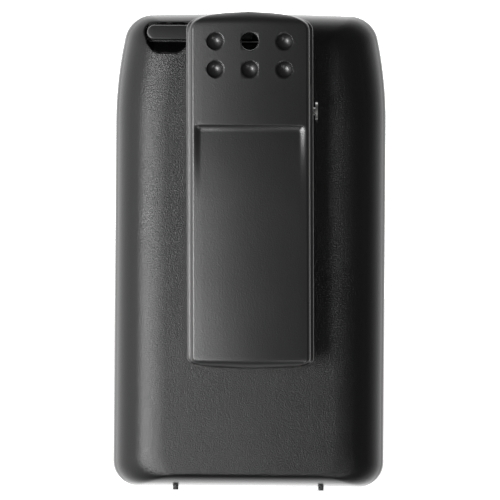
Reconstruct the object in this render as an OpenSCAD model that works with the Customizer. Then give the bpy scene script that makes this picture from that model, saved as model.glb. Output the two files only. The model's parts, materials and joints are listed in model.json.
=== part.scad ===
// Compact portable two-way radio with a clip-on battery pack and a sprung belt clip.
// Millimetres. +Z is up, -Y is the front (speaker) side, +Y is the rear (belt clip) side.
// The origin is the centre of the bounding box's bottom face.

/* [Body] */
// Width of the battery pack, the widest part of the radio
body_w = 60; // [59.5:0.1:60.5]
// Height of the battery pack without its guide rails
body_h = 104.6; // [104:0.1:105.2]
// Depth of the battery pack, from the parting plane to its rear face
pack_depth = 18.5; // [18.4:0.1:19]
// Depth of the radio unit in front of the parting plane
radio_depth = 17; // [16.9:0.1:17.4]
// Wall thickness of the mouldings
wall = 1.6; // [1.5:0.05:1.7]
// How far the charger guide rails stand below the base
rail_h = 0.65; // [0.5:0.05:0.9]

/* [Belt clip] */
// Width of the belt clip over its flared edges
clip_w = 27.5; // [27.3:0.1:27.8]
// Height of the clip's top edge above the base plane
clip_top = 104.6; // [104:0.1:105]
// Height of the clip's lower tip above the base plane
clip_bottom = 27.2; // [26.5:0.1:28]
// Distance from the pack's rear face to the clip's thumb plate
clip_reach = 9.5; // [9.4:0.05:9.7]
// Height of the hinge pin above the base plane
pin_z = 83.1; // [83:0.1:83.3]

/* [Controls] */
// Diameter of the two rotary knobs
knob_d = 13; // [12:0.1:13.4]
// Thread diameter of the antenna stud
antenna_d = 6.35; // [6.2:0.05:6.4]

/* [Hidden] */
$fn = 48;

gap = 0.1; // half of the gap at the parting plane
depth = radio_depth + pack_depth + clip_reach;
front_y = -depth / 2;
part_y = front_y + radio_depth;
back_y = part_y + pack_depth;
base_z = rail_h;
top_z = base_z + body_h;

// Pack shell: corner and edge roundings
pack_front_y = part_y + gap;
side_round = 10;
top_round = 8;
bottom_round = 3.5;
back_round = 9;
rail_x = 16;
hook_z = base_z + 4.2;
rail_w = 1.2;
bulkhead_z = 89.4;

// Belt clip
dimple_r = 2;
dimple_depth = 1.3;
dimple_sphere_r = (dimple_r * dimple_r + dimple_depth * dimple_depth) / (2 * dimple_depth);
dimple_pitch_x = 7.55;
dimple_pitch_z = 6.05;
dimple_z = 98;
face_y = back_y + clip_reach;
clip_crown = 0.6;
clip_t = 2;
skirt = 2.4;
step_z = 80;
scoop_depth = 1;
scoop_half_w = 12;
scoop_len = 21;
tip_fall = 0.4;
tip_len = 20;
ear_out = 13;
ear_in = 11.6;
lug_out = 11.2;
lug_in = 7;
pin_r = 1;
pin_y = back_y + 4.6;
pin_head_r = 2.3;
pin_head_t = 0.5;
pin_head_x = -14;

// Latch lever: thumb bar, hub and arm
bar_z = [98.95, 102.1];
recess_z = [98.6, 102.7];
recess_x = [-3, 23.4];
well_z = 96.1;
bar_end_x = 22.9;
hub_x = 1.4;
hub_y = part_y + 13.4;
hub_r = 1.7;
arm_z = 93.5;
arm_t = 1.6;
arm_w = 2.2;
latch_pin_r = 0.75;
recess_y = part_y + 14;

// Battery cells, lying crosswise
cell_r = 7.1;
cell_len = 43;
cell_pitch = 14.3;
cell_y = part_y + 9.2;
cell_z = base_z + 9.5;
cell_count = 6;
terminal_z = cell_z + cell_pitch / 2;

// Radio unit
case_w = 58.6;
deck_z = 98.8;
case_wall = 1.8;
case_rear_y = part_y - gap;
case_front_in_y = front_y + case_wall;
chassis_t = 1.6;
chassis_front_y = case_rear_y - chassis_t;
board_y = part_y - 6;
board_t = 1.6;
deck_y = part_y - 8.5;
ledge_y = chassis_front_y - 0.8;

// Top controls and side controls
volume_x = 19;
channel_x = 3.5;
antenna_x = -20.5;
emergency_x = -10.5;
knob_z = deck_z + 0.3;
knob_h = 5.1;
shaft_r = 1.5;
stud_top_z = deck_z + 5.4;
ptt_z = 64;
ptt_len = 24;
side_y = part_y - 8.5;
button_w = 7;
side_x = -case_w / 2;
upper_button_z = 82;
lower_button_z = 46.5;
small_len = 8;
small_w = 6;
flange_x = 3.4;
ptt_travel = 1;
small_travel = 0.7;
jack_z = [84, 73];
jack_r = [1.75, 1.25];
jack_y = part_y - 9.2;
cover_z = [67.6, 89];
cover_hinge_x = case_w / 2 - 0.65;

// Speaker
speaker_z = 38;
speaker_r = 18;
slot_h = 1.7;
slot_pitch = 3.6;
slot_field_r = 16;

function unit(v) = v / norm(v);

// Front-view outline of a moulding, [x, z], going round by the -X side first. The sides lean in
// over the last taper_len below the top corners, and the top edge is crowned.
function half_outline(w, h, r_bot, r_top, taper_len, slope, crown) =
    let (
        taper = taper_len * tan(slope) / 2,
        cx = w / 2 - taper - r_top * cos(slope),
        ex = cx + r_top * sin(crown),
        drop = ex * tan(crown) / 2,
        cz = h - drop - r_top * cos(crown),
        pz = cz + r_top * sin(slope)
    )
    concat(
        [for (a = [-90:15:0]) [w / 2 - r_bot + r_bot * cos(a), r_bot + r_bot * sin(a)]],
        [for (u = [0:0.2:0.8]) [w / 2 - taper * u * u, pz - taper_len * (1 - u)]],
        [for (i = [0:6]) let (a = slope + (90 - crown - slope) * i / 6)
            [cx + r_top * cos(a), cz + r_top * sin(a)]],
        [for (u = [0.66, 0.33]) [ex * u, h - drop * u * u]]
    );
function outline(w, h, r_bot, r_top, taper_len, slope, crown) =
    let (half = half_outline(w, h, r_bot, r_top, taper_len, slope, crown), n = len(half))
    concat([for (p = half) [-p[0], p[1]]], [[0, h]], [for (i = [n - 1:-1:0]) half[i]]);

// Outline of the pack and of the case, both taken in by d all round
function pack_outline(d) = outline(body_w - 2 * d, body_h - 2 * d, 5.5 - d, 6.4 - d, 18.5, 11.8, 2);
function case_outline(d) = outline(case_w - 2 * d, deck_z - base_z - 2 * d, 5 - d, 4.2 - d, 12, 5, 0.4);

// A ring of an outline squeezed in by the three edge insets, at depth y
function squeezed(points, w, h, y, side, top, bottom) = [
    for (p = points) [p[0] * (1 - 2 * side / w), y, bottom + p[1] * (1 - (top + bottom) / h)]
];

// Solid through rings of equal length, each counter-clockwise seen from the last ring's side
module loft(rings) {
    n = len(rings[0]);
    m = len(rings);
    sides = [
        for (i = [0:m - 2]) for (j = [0:n - 1])
            let (k = (j + 1) % n) [i * n + j, (i + 1) * n + j, (i + 1) * n + k, i * n + k]
    ];
    caps = [[for (j = [0:n - 1]) j], [for (j = [n - 1:-1:0]) (m - 1) * n + j]];
    polyhedron([for (r = rings) each r], concat(sides, caps), convexity = 8);
}

// Slab with an outline front view, open flat side at y = 0 and its far edges rounded over
module slab(points, w, h, thick, round_y, side, top, bottom) {
    straight = [for (y = [0, thick - round_y]) squeezed(points, w, h, y, 0, 0, 0)];
    curved = [
        for (a = [15:15:90])
            squeezed(
                points, w, h, thick - round_y * (1 - sin(a)),
                side * (1 - cos(a)), top * (1 - cos(a)), bottom * (1 - cos(a))
            )
    ];
    loft(concat(straight, curved));
}

module pack_slab(d) {
    translate([0, pack_front_y, base_z + d])
        slab(pack_outline(d), body_w - 2 * d, body_h - 2 * d, back_y - pack_front_y - d,
             back_round - d, side_round - d, top_round - d, max(bottom_round - d, 1));
}

// Flat plates from y0 to y1, with the outline of the pack or of the case taken in by d
module pack_plate(d, y0, y1) {
    translate([0, y1, base_z + d]) rotate([90, 0, 0]) linear_extrude(y1 - y0) polygon(pack_outline(d));
}

module case_plate(d, y0, y1) {
    translate([0, y1, base_z + d]) rotate([90, 0, 0]) linear_extrude(y1 - y0) polygon(case_outline(d));
}

// Straight bar with its section in the YZ plane, from x0 to x1
module along_x(points, x0, x1) {
    translate([x0, 0, 0]) rotate([90, 0, 90]) linear_extrude(x1 - x0) polygon(points);
}

module rod_x(x0, x1, y, z, r) {
    translate([x0, y, z]) rotate([0, 90, 0]) cylinder(h = x1 - x0, r = r);
}

module rod_y(x, y0, y1, z, r) {
    translate([x, y0, z]) rotate([-90, 0, 0]) cylinder(h = y1 - y0, r = r);
}

module rod_z(x, y, z0, z1, r) {
    translate([x, y, z0]) cylinder(h = z1 - z0, r = r);
}

module box(x, y, z) {
    translate([x[0], y[0], z[0]]) cube([x[1] - x[0], y[1] - y[0], z[1] - z[0]]);
}

// Stadium-shaped prism along X, long in Z
module stadium_x(x, y, z, len, w) {
    for (s = [-1, 1]) rod_x(x[0], x[1], y, z + s * (len - w) / 2, w / 2);
    box(x, [y - w / 2, y + w / 2], [z - (len - w) / 2, z + (len - w) / 2]);
}

// Round wire along a path whose bends lie across the reference direction
module wire(path, r, reference, sides = 6) {
    n = len(path);
    rings = [
        for (i = [0:n - 1])
            let (
                t = unit(path[min(i + 1, n - 1)] - path[max(i - 1, 0)]),
                u = unit(cross(t, reference)),
                v = cross(t, u)
            )
            [for (k = [0:sides - 1]) path[i] + r * (cos(360 * k / sides) * u + sin(360 * k / sides) * v)]
    ];
    loft(rings);
}

// ---- Battery pack ----

// Keeps the recess for the latch closed towards the cells
module latch_block() {
    intersection() {
        union() {
            box([-5.4, 25.5], [recess_y - 2.8, back_y], [97.4, top_z]);
            box([11.5, 25.5], [recess_y - 1.2, back_y], [well_z - 1.5, 98]);
        }
        pack_slab(0.4);
    }
    box([-5.4, 8], [recess_y + 0.2, back_y - 1], [93.8, 97.6]);
}

// Well below the thumb bar, with a floor that rises to its lower edge
module fingertip_well(far) {
    intersection() {
        translate([0, far, 0]) rotate([90, 0, 0]) linear_extrude(far - recess_y)
            polygon([
                [13.6, 99.5], [13.6, 98.2], [15.4, 96.5], [16.4, well_z],
                [20.4, well_z], [21.6, 96.6], [22.8, 98.2], [23.1, 99.5]
            ]);
        along_x([
            [recess_y, 99.6], [recess_y, recess_z[0]], [back_y - 0.7, well_z - 0.01],
            [far, well_z - 0.01], [far, 99.6]
        ], 13, 24);
    }
}

module latch_recess() {
    far = back_y + 1;
    r = (recess_z[1] - recess_z[0]) / 2;
    box([recess_x[0], recess_x[1] - r], [recess_y, far], recess_z);
    rod_y(recess_x[1] - r, recess_y, far, recess_z[0] + r, r);
    fingertip_well(far);
    box([-4, 6.5], [recess_y + 1.9, far], [94.8, 98.2]);
    box([-0.8, 3.7], [recess_y - 4, recess_y + 1.2], [92, 102.9]);
}

module hinge_lugs() {
    for (s = [-1, 1]) {
        x0 = s > 0 ? lug_in : -lug_out;
        rod_x(x0, x0 + lug_out - lug_in, pin_y, pin_z, 2.3);
        box([x0, x0 + lug_out - lug_in], [back_y - wall, pin_y], [pin_z - 2.3, pin_z + 2.3]);
    }
}

module guide_rails(y0, y1) {
    for (s = [-1, 1]) box([s * rail_x - rail_w / 2, s * rail_x + rail_w / 2], [y0, y1], [0, base_z + 1.5]);
}

module rear_shell() {
    color("#2b2c2e") difference() {
        union() {
            difference() {
                pack_slab(0);
                difference() {
                    pack_slab(wall);
                    latch_block();
                }
                pack_plate(wall, pack_front_y - 1, pack_front_y + 1.6);
            }
            box([-27, 27], [pack_front_y + 1.6, back_y - wall], [bulkhead_z, bulkhead_z + 1.4]);
            hinge_lugs();
            guide_rails(part_y + 3, part_y + 14);
        }
        latch_recess();
        rod_x(-20, 20, pin_y, pin_z, pin_r);
        rod_z(hub_x, hub_y, bulkhead_z + 0.4, bulkhead_z + 2, latch_pin_r);
        for (s = [-1, 1]) {
            rod_z(s * 9, part_y + 9, 0, 3, 2.2);
            for (z = [30.4, 12])
                box([s * 30 - 0.5, s * 30 + 0.5], [part_y, part_y + 1.6], [z - 1.6, z + 1.6]);
        }
    }
}

module pack_cover() {
    color("#232426") difference() {
        union() {
            pack_plate(wall + 0.1, pack_front_y, pack_front_y + 1.5);
            for (s = [-1, 1]) {
                rod_x(s * 16 - 4, s * 16 + 4, part_y - 1.4, hook_z, 0.7);
                box([s * 16 - 4, s * 16 + 4], [part_y - 1.4, part_y + 0.5], [hook_z - 0.4, hook_z + 0.4]);
            }
        }
        box([hub_x - 1.5, hub_x + 5.6], [part_y - 1, part_y + 3], [arm_z - 0.4, arm_z + arm_t + 0.4]);
        for (x = [-10, 0, 10]) rod_y(x, part_y - 1, part_y + 3, terminal_z, 2.5);
    }
}

module battery_cells() {
    color("#3f6f9c") for (i = [0:cell_count - 1]) {
        s = i % 2 == 0 ? 1 : -1;
        z = cell_z + i * cell_pitch;
        rod_x(-cell_len / 2 + (s > 0 ? 0.8 : 0), cell_len / 2 - (s > 0 ? 0 : 0.8), cell_y, z, cell_r);
        rod_x(
            s > 0 ? -cell_len / 2 : cell_len / 2 - 0.9,
            s > 0 ? -cell_len / 2 + 0.9 : cell_len / 2, cell_y, z, 2.7
        );
    }
}

module cell_straps() {
    color("#c9c9c4") {
        for (i = [0:2:4]) cell_strap(1, i);
        for (i = [1:2:3]) cell_strap(-1, i);
        for (i = [0, 5]) box(
            [-cell_len / 2 - 0.2, -cell_len / 2], [cell_y - 3, cell_y + 3],
            [cell_z + i * cell_pitch - 5, cell_z + i * cell_pitch + 5]
        );
    }
}

module cell_strap(side, i) {
    x = side > 0 ? cell_len / 2 : -cell_len / 2 - 0.2;
    z = cell_z + i * cell_pitch;
    box([x, x + 0.2], [cell_y - 3, cell_y + 3], [z - 3, z + cell_pitch + 3]);
}

module cell_foam() {
    color("#4a4a4a") difference() {
        box([-19, 19], [pack_front_y + 1.5, cell_y - cell_r], [cell_z - 5, cell_z + 5 * cell_pitch + 5]);
        box([-14, 14], [part_y, part_y + 3], [terminal_z - 4, terminal_z + 4]);
    }
}

module thermal_fuse() {
    color("#b9a26a") {
        box([-26, -23], [part_y + 4, part_y + 7.5], [cell_z + 24, cell_z + 34]);
        for (z = [20, 34]) rod_z(-24.5, part_y + 5.7, cell_z + z, cell_z + z + 4, 0.35);
    }
}

module pack_terminals() {
    color("#caa84a") for (x = [-10, 0, 10]) rod_y(x, pack_front_y, pack_front_y + 1.8, terminal_z, 2.5);
}

module charge_contacts() {
    color("#c9c9c4") for (s = [-1, 1]) rod_z(s * 9, part_y + 9, base_z + 0.1, 2.5, 2.2);
}

// ---- Belt clip ----

// Half of the clip's width at height z, with an arched top edge and a bowed lower edge
function arch(d, reach, power) = d >= reach ? 1 : pow(1 - pow((reach - d) / reach, power), 1 / power);
function clip_half(z) = clip_w / 2 * arch(clip_top - z, 4.3, 2.5) * arch(z - clip_bottom, 2.6, 3.2);
function ease(u) = u <= 0 ? 0 : u >= 1 ? 1 : u * u * (3 - 2 * u);
function fall(d, reach, amount) = d >= reach ? 0 : amount * pow((reach - d) / reach, 2);
// Outer face of the clip at height z
function clip_y(z) =
    face_y
    - fall(clip_top - z, 2.7, 1.8)
    - fall(z - clip_bottom, 2, 1.6)
    - tip_fall * ease((clip_bottom + tip_len - z) / tip_len);

// Depth of the scoop in the blade's face, which starts in a step and fades out downwards
function scoop(z) =
    z > step_z || z < step_z - scoop_len ? 0 : scoop_depth * pow(1 - (step_z - z) / scoop_len, 2);

function clip_section(z) =
    let (half = clip_half(z), y = clip_y(z), top = half * 0.9, low = y - skirt)
    concat(
        [[half, low, z], [half, low + 0.5, z], [top + 0.3, y - clip_crown - 0.4, z]],
        [for (u = [1:-0.25:-1]) [u * (top - 0.2), y - clip_crown * u * u, z]],
        [[-top - 0.3, y - clip_crown - 0.4, z], [-half, low + 0.5, z], [-half, low, z]]
    );
function clip_hollow(z) =
    let (y = clip_y(z) - scoop(z) - clip_t, low = y - 4)
    [[ear_in, low, z], [ear_in, y, z], [-ear_in, y, z], [-ear_in, low, z]];

clip_stations = [
    clip_bottom + 0.03, clip_bottom + 0.25, clip_bottom + 0.7, clip_bottom + 1.4, clip_bottom + 2.6,
    38, 47, 60, 90,
    clip_top - 4.3, clip_top - 2.7, clip_top - 1.7, clip_top - 0.9, clip_top - 0.35, clip_top - 0.03
];
hollow_stations = [clip_bottom + 3.6, 38, 47, 60, 66, 72, 77, step_z, step_z + 0.2, 90, clip_top - 3.2];

// Cutter for the scoop, flat across the blade, which leaves the face through a steep upper end
module blade_scoop() {
    along_x(concat(
        [[face_y + 2, step_z - scoop_len], [face_y + 2, step_z + 0.35], [face_y + 0.3, step_z + 0.35]],
        [for (d = [0.35:3:scoop_len - 2]) [clip_y(step_z - d) - scoop(step_z - d), step_z - d]]
    ), -scoop_half_w, scoop_half_w);
}

module clip_ears() {
    for (s = [-1, 1]) {
        x0 = s > 0 ? ear_in - 0.2 : -ear_out;
        rod_x(x0, x0 + ear_out - ear_in + 0.2, pin_y, pin_z, 2.7);
        along_x([
            [pin_y, pin_z + 2.7], [face_y - 1.6, pin_z + 6], [face_y - 1.6, pin_z - 2.2],
            [face_y - 2.4, pin_z - 6], [pin_y, pin_z - 2.7]
        ], x0, x0 + ear_out - ear_in + 0.2);
    }
}

// Depth of the crowned face below its middle line, at distance x from it
function crown_drop(x) = clip_crown * pow(x / (clip_w * 0.45 - 0.2), 2);

// Five dimples for the thumb; the middle place of the upper row is open right through
module thumb_dimples() {
    for (i = [-1:1]) for (j = [0, 1]) {
        x = i * dimple_pitch_x;
        z = dimple_z - j * dimple_pitch_z;
        if (i == 0 && j == 0) rod_y(x, face_y - clip_t - 1, face_y + 1, z, dimple_r);
        else translate([x, face_y - crown_drop(x) + dimple_sphere_r - dimple_depth, z])
            sphere(r = dimple_sphere_r);
    }
}

// End of the blade, turned in towards the pack so that a belt can't slip off
module clip_hook() {
    root_y = clip_y(clip_bottom + 4) - 0.8;
    along_x([
        [back_y + 0.25, clip_bottom + 1.2], [back_y + 0.25, clip_bottom + 2.6],
        [root_y, clip_bottom + 4.2], [root_y, clip_bottom + 1.2]
    ], -11, 11);
}

module belt_clip() {
    color("#242528") difference() {
        union() {
            difference() {
                loft([for (z = clip_stations) clip_section(z)]);
                loft([for (z = hollow_stations) clip_hollow(z)]);
            }
            clip_ears();
            clip_hook();
        }
        thumb_dimples();
        blade_scoop();
        rod_x(-20, 20, pin_y, pin_z, pin_r + 0.06);
    }
}

module hinge_pin() {
    color("#c9c9c4") {
        rod_x(pin_head_x, ear_out - 0.1, pin_y, pin_z, pin_r);
        rod_x(pin_head_x - pin_head_t, pin_head_x, pin_y, pin_z, pin_head_r);
    }
}

// Torsion spring round the hinge pin, one leg on the pack and one under the thumb plate
coil_r = 1.75;
coil_wire_r = 0.28;
coil_turns = 7;
coil_pitch = 0.9;
coil_path = concat(
    [for (u = [1, 0.5]) [-coil_turns * coil_pitch / 2, pin_y - coil_r - 2.1 * u, pin_z + 8.5 * u]],
    [
        for (i = [0:12 * coil_turns + 6])
            let (a = -90 - 30 * i)
            [coil_pitch * (i / 12 - coil_turns / 2), pin_y + coil_r * sin(a), pin_z - coil_r * cos(a)]
    ],
    [for (u = [0.5, 1]) [coil_pitch * (coil_turns / 2 + 0.5), pin_y + coil_r + 0.85 * u, pin_z + 8.5 * u]]
);

module clip_spring() {
    color("#b7b8ba") wire(coil_path, coil_wire_r, [1, 0, 0]);
}

// ---- Latch ----

module latch_lever() {
    color("#202123") difference() {
        union() {
            bar_h = bar_z[1] - bar_z[0];
            intersection() {
                along_x([
                    [recess_y + 0.2, bar_z[0]], [recess_y + 3.5, bar_z[0]],
                    [recess_y + 3.2, bar_z[1]], [recess_y + 0.2, bar_z[1]]
                ], -0.2, bar_end_x);
                union() {
                    box([-0.2, bar_end_x - bar_h / 2], [0, back_y], bar_z);
                    rod_y(bar_end_x - bar_h / 2, 0, back_y, (bar_z[0] + bar_z[1]) / 2, bar_h / 2);
                }
            }
            rod_z(hub_x, hub_y, arm_z, bar_z[1], hub_r);
            box([hub_x - arm_w / 2, hub_x + arm_w / 2], [part_y - 2.6, hub_y], [arm_z, arm_z + arm_t]);
        }
        rod_z(hub_x, hub_y, arm_z - 1, 99, latch_pin_r + 0.05);
    }
}

module latch_pin() {
    color("#c9c9c4") rod_z(hub_x, hub_y, bulkhead_z + 0.5, 98.8, latch_pin_r);
}

latch_coil_path = [
    for (i = [0:30])
        let (a = 36 * i) [hub_x + 1.25 * cos(a), hub_y + 1.25 * sin(a), bulkhead_z + 1.8 + 0.056 * i]
];

module latch_spring() {
    color("#b7b8ba") wire(latch_coil_path, 0.22, [0, 0, 1]);
}

// ---- Radio unit ----

module case_slab(d) {
    mirror([0, 1, 0]) translate([0, -case_rear_y, base_z + d])
        slab(
            case_outline(d), case_w - 2 * d, deck_z - base_z - 2 * d, case_rear_y - front_y - d,
            6 - d, 6 - d, 3 - d / 2, 3 - d / 2
        );
}

module speaker_slots() {
    for (i = [-4:4]) {
        z = speaker_z + i * slot_pitch;
        half = sqrt(pow(slot_field_r, 2) - pow(i * slot_pitch, 2)) - slot_h / 2;
        for (s = [-1, 1]) rod_y(s * half, front_y - 1, case_front_in_y + 1, z, slot_h / 2);
        box([-half, half], [front_y - 1, case_front_in_y + 1], [z - slot_h / 2, z + slot_h / 2]);
    }
}

module corner_blocks() {
    for (p = screw_places) {
        rod_y(p[0], part_y - 5.2, chassis_front_y, p[1], 2.2);
        box(
            p[0] > 0 ? [p[0] - 2.2, 28] : [-28, p[0] + 2.2],
            [part_y - 5.2, ledge_y], [p[1] - 2.2, p[1] + 2.2]
        );
    }
}

module front_case() {
    color("#28292c") difference() {
        union() {
            difference() {
                case_slab(0);
                difference() {
                    union() {
                        case_slab(case_wall);
                        case_plate(case_wall, case_rear_y - 1.6, case_rear_y + 1);
                    }
                    case_ledge();
                    corner_blocks();
                }
            }
            guide_rails(front_y + 4, part_y - 2);
            difference() {
                rod_z(emergency_x, deck_y, deck_z - 1, deck_z + 1.2, 5);
                rod_z(emergency_x, deck_y, deck_z - 2, deck_z + 2, 4);
            }
        }
        speaker_slots();
        rod_y(-17, front_y - 1, case_front_in_y + 1, 66, 0.7);
        box([-15, 15], [front_y - 1, front_y + 0.7], [84.5, 91.5]);
        for (x = [volume_x, channel_x]) rod_z(x, deck_y, deck_z - 3, deck_z + 2, 3);
        rod_z(antenna_x, deck_y, deck_z - 3, deck_z + 2, antenna_d / 2 + 0.5);
        rod_z(emergency_x, deck_y, deck_z - 3, deck_z + 0.1, 3.5);
        rod_z(-4.6, part_y - 4.2, deck_z - 3, deck_z + 1, 1.2);
        stadium_x([-31, -26], side_y, ptt_z, ptt_len + 0.4, button_w + 0.4);
        for (z = [upper_button_z, lower_button_z])
            stadium_x([-31, -26], side_y, z, small_len + 0.4, small_w + 0.4);
        box([cover_hinge_x - 0.85, 31], [jack_y - 4, jack_y + 4], cover_z);
        box([26, 31], [jack_y - 3, board_y + 0.2], [69.4, 87.6]);
        for (p = screw_places) rod_y(p[0], part_y - 4.7, part_y, p[1], 1);
    }
}

screw_places = [[-23.7, base_z + 5.4], [23.7, base_z + 5.4], [-23.7, deck_z - 5.4], [23.7, deck_z - 5.4]];

// Ledge round the inside of the case that the gasket seats on
module case_ledge() {
    difference() {
        case_plate(1, ledge_y - 1.1, ledge_y);
        case_plate(3, ledge_y - 2, ledge_y + 1);
    }
}

module case_gasket() {
    color("#7a2b23") difference() {
        case_plate(1.95, ledge_y, chassis_front_y);
        case_plate(3, ledge_y - 1, chassis_front_y + 1);
    }
}

standoffs = [[-17.6, 12], [17.6, 12], [-17.6, 80], [11, 80]];

module chassis() {
    color("#9b9da0") difference() {
        union() {
            case_plate(1.95, chassis_front_y, case_rear_y);
            for (p = standoffs) rod_y(p[0], board_y + board_t, chassis_front_y, p[1], 2.2);
        }
        for (p = screw_places) {
            rod_y(p[0], part_y - 4, part_y, p[1], 1.1);
            rod_y(p[0], part_y - 1, part_y, p[1], 2);
        }
        for (p = standoffs) rod_y(p[0], board_y, chassis_front_y + 0.4, p[1], 0.8);
        for (s = [-1, 1])
            box([s * 16 - 4.4, s * 16 + 4.4], [part_y - 3, part_y], [hook_z - 1.1, hook_z + 1.4]);
        box([hub_x - 1.7, hub_x + 6.2], [part_y - 3, part_y], [arm_z - 0.5, arm_z + arm_t + 0.5]);
        box([-14, 14], [part_y - 3, part_y], [terminal_z - 3, terminal_z + 3]);
    }
}

module chassis_screws() {
    color("#3a3a3c") for (p = screw_places) difference() {
        union() {
            rod_y(p[0], part_y - 4.6, part_y - 1, p[1], 1);
            rod_y(p[0], part_y - 1, part_y - 0.2, p[1], 1.9);
        }
        for (a = [0, 90])
            translate([p[0], part_y - 0.6, p[1]]) rotate([0, a, 0]) cube([2.4, 1, 0.5], center = true);
    }
}

module main_board() {
    color("#1f6b3a") difference() {
        box([-20.8, 20.8], [board_y, board_y + board_t], [5, 88]);
        for (p = standoffs) rod_y(p[0], board_y - 1, board_y + 3, p[1], 0.8);
    }
}

module board_screws() {
    color("#c9c9c4") for (p = standoffs) {
        rod_y(p[0], board_y, chassis_front_y - 0.2, p[1], 0.8);
        rod_y(p[0], board_y - 0.9, board_y, p[1], 1.6);
    }
}

module board_chips() {
    color("#17181a") {
        box([-12, -2], [board_y - 1.2, board_y], [66, 76]);
        box([2, 9], [board_y - 1, board_y], [68, 73]);
        box([-14, -8], [board_y - 1, board_y], [79, 84]);
        box([-3, 5], [board_y - 1.4, board_y], [79, 85]);
        box([-18, -13.5], [board_y - 1, board_y], [69, 73]);
        for (i = [0:4]) box([-10 + 4.2 * i, -8 + 4.2 * i], [board_y - 0.8, board_y], [61, 62.2]);
        box([8, 16], [board_y - 1.2, board_y], [7, 13]);
        box([-16, -8], [board_y - 1.2, board_y], [7, 13]);
    }
}

module rf_shield() {
    color("#c9c9c4") difference() {
        box([-16, 14], [board_y + board_t, chassis_front_y - 0.4], [44, 74]);
        box([-15.7, 13.7], [board_y, chassis_front_y - 0.7], [44.3, 73.7]);
    }
}

module radio_terminals() {
    color("#caa84a") for (x = [-10, 0, 10]) {
        box([x - 1.5, x + 1.5], [board_y + board_t, part_y - 2.4], [terminal_z - 2.4, terminal_z + 2.4]);
        along_x([
            [part_y - 2.6, terminal_z - 2.4], [part_y - 1.2, terminal_z - 0.6], [part_y - 0.2, terminal_z],
            [part_y - 1.2, terminal_z + 0.6], [part_y - 2.6, terminal_z + 2.4]
        ], x - 1.2, x + 1.2);
    }
}

module speaker() {
    color("#55585c") translate([0, case_front_in_y + 0.2, speaker_z]) rotate([-90, 0, 0])
        rotate_extrude($fn = 96) polygon([
        [0, 5.2], [4, 5.2], [4, 5], [8.8, 5], [16, 1.2], [16, 0], [speaker_r, 0], [speaker_r, 1], [16.6, 1.6],
        [9.5, 5.4], [9.5, 8.2], [0, 8.2]
    ]);
}

module speaker_cone() {
    color("#1c1c1d") translate([0, case_front_in_y + 0.2, speaker_z]) rotate([-90, 0, 0])
        rotate_extrude($fn = 96) polygon([
        [0, 2.2], [3, 3], [5, 4], [14, 0.9], [14.8, 0.5], [15.9, 0.6], [15.9, 0.9], [14.9, 0.8], [14.1, 1.2],
        [5, 4.35], [2.8, 3.35], [0, 2.5]
    ]);
}

module grille_mesh() {
    color("#101011") rod_y(0, case_front_in_y, case_front_in_y + 0.2, speaker_z, 17.2);
}

module microphone() {
    color("#b9b9b6") rod_y(-17, case_front_in_y, case_front_in_y + 1.8, 66, 2.8);
}

module nameplate() {
    color("#a8aaad") box([-14.8, 14.8], [front_y + 0.1, front_y + 0.7], [84.7, 91.3]);
}

// ---- Top controls ----

module control_board() {
    color("#1f6b3a") difference() {
        box([-15.6, 24.5], [part_y - 13, part_y - 5.6], [89.4, 90.4]);
        rod_z(volume_x, deck_y, 89, 91, 2);
        rod_z(channel_x, deck_y, 89, 91, 2);
    }
}

module rotary_body(x) {
    difference() {
        union() {
            box([x - 4.6, x + 4.6], [deck_y - 4.6, deck_y + 2.7], [90.4, 95.4]);
            rod_z(x, deck_y, 95.4, deck_z - 0.2, 2.95);
        }
        rod_z(x, deck_y, 90, deck_z, shaft_r + 0.05);
    }
}

module volume_control() {
    color("#6f7276") rotary_body(volume_x);
}

module channel_switch() {
    color("#6f7276") rotary_body(channel_x);
}

module control_shaft(x) {
    color("#c9c9c4") rod_z(x, deck_y, 90.6, knob_z + 3.6, shaft_r);
}

module knob(x, ribs) {
    color("#1d1e20") difference() {
        rod_z(x, deck_y, knob_z, knob_z + knob_h, knob_d / 2);
        rod_z(x, deck_y, knob_z - 1, knob_z + 3.6, shaft_r);
        for (i = [0:ribs - 1]) rotate_about(x, 360 * i / ribs)
            rod_z(x + knob_d / 2 + 0.35, deck_y, knob_z + 0.6, knob_z + knob_h - 0.8, 0.7);
    }
}

module rotate_about(x, a) {
    translate([x, deck_y, 0]) rotate([0, 0, a]) translate([-x, -deck_y, 0]) children();
}

module antenna_connector() {
    color("#c8a24a") difference() {
        union() {
            rod_z(antenna_x, deck_y, deck_z - 4.6, stud_top_z, antenna_d / 2);
            rod_z(antenna_x, deck_y, deck_z - 4.6, deck_z, antenna_d / 2 + 0.5);
        }
        rod_z(antenna_x, deck_y, deck_z - 3, stud_top_z + 1, 2.1);
    }
}

module antenna_insulator() {
    color("#e8e6df") difference() {
        rod_z(antenna_x, deck_y, deck_z - 3, stud_top_z - 1.4, 2.1);
        rod_z(antenna_x, deck_y, deck_z - 1, stud_top_z, 0.5);
    }
}

module emergency_switch() {
    color("#17181a") {
        box([emergency_x - 2.6, emergency_x + 2.6], [deck_y - 2.6, deck_y + 2.4], [90.4, 93.4]);
        rod_z(emergency_x, deck_y, 93.4, 94.3, 1.2);
    }
}

module emergency_button() {
    color("#e2571c") {
        rod_z(emergency_x, deck_y, 95.4, deck_z + 2, 3.3);
        rod_z(emergency_x, deck_y, 95.4, 96.2, 3.9);
    }
}

module status_led() {
    color("#d7e6d2") rod_z(-4.6, part_y - 4.2, deck_z - 3.6, deck_z + 0.2, 1.2);
}

// ---- Side controls ----

// Push button in the -X side wall: cap, inner flange and a plunger pip
module side_button(z, len, w, proud) {
    stadium_x([side_x - proud, side_x + 2.8], side_y, z, len, w);
    stadium_x([side_x + 2.6, side_x + flange_x], side_y, z, len + 1.4, w + 1.4);
}

module ptt_button() {
    color("#1f2022") side_button(ptt_z, ptt_len, button_w, 0.55);
}

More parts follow.
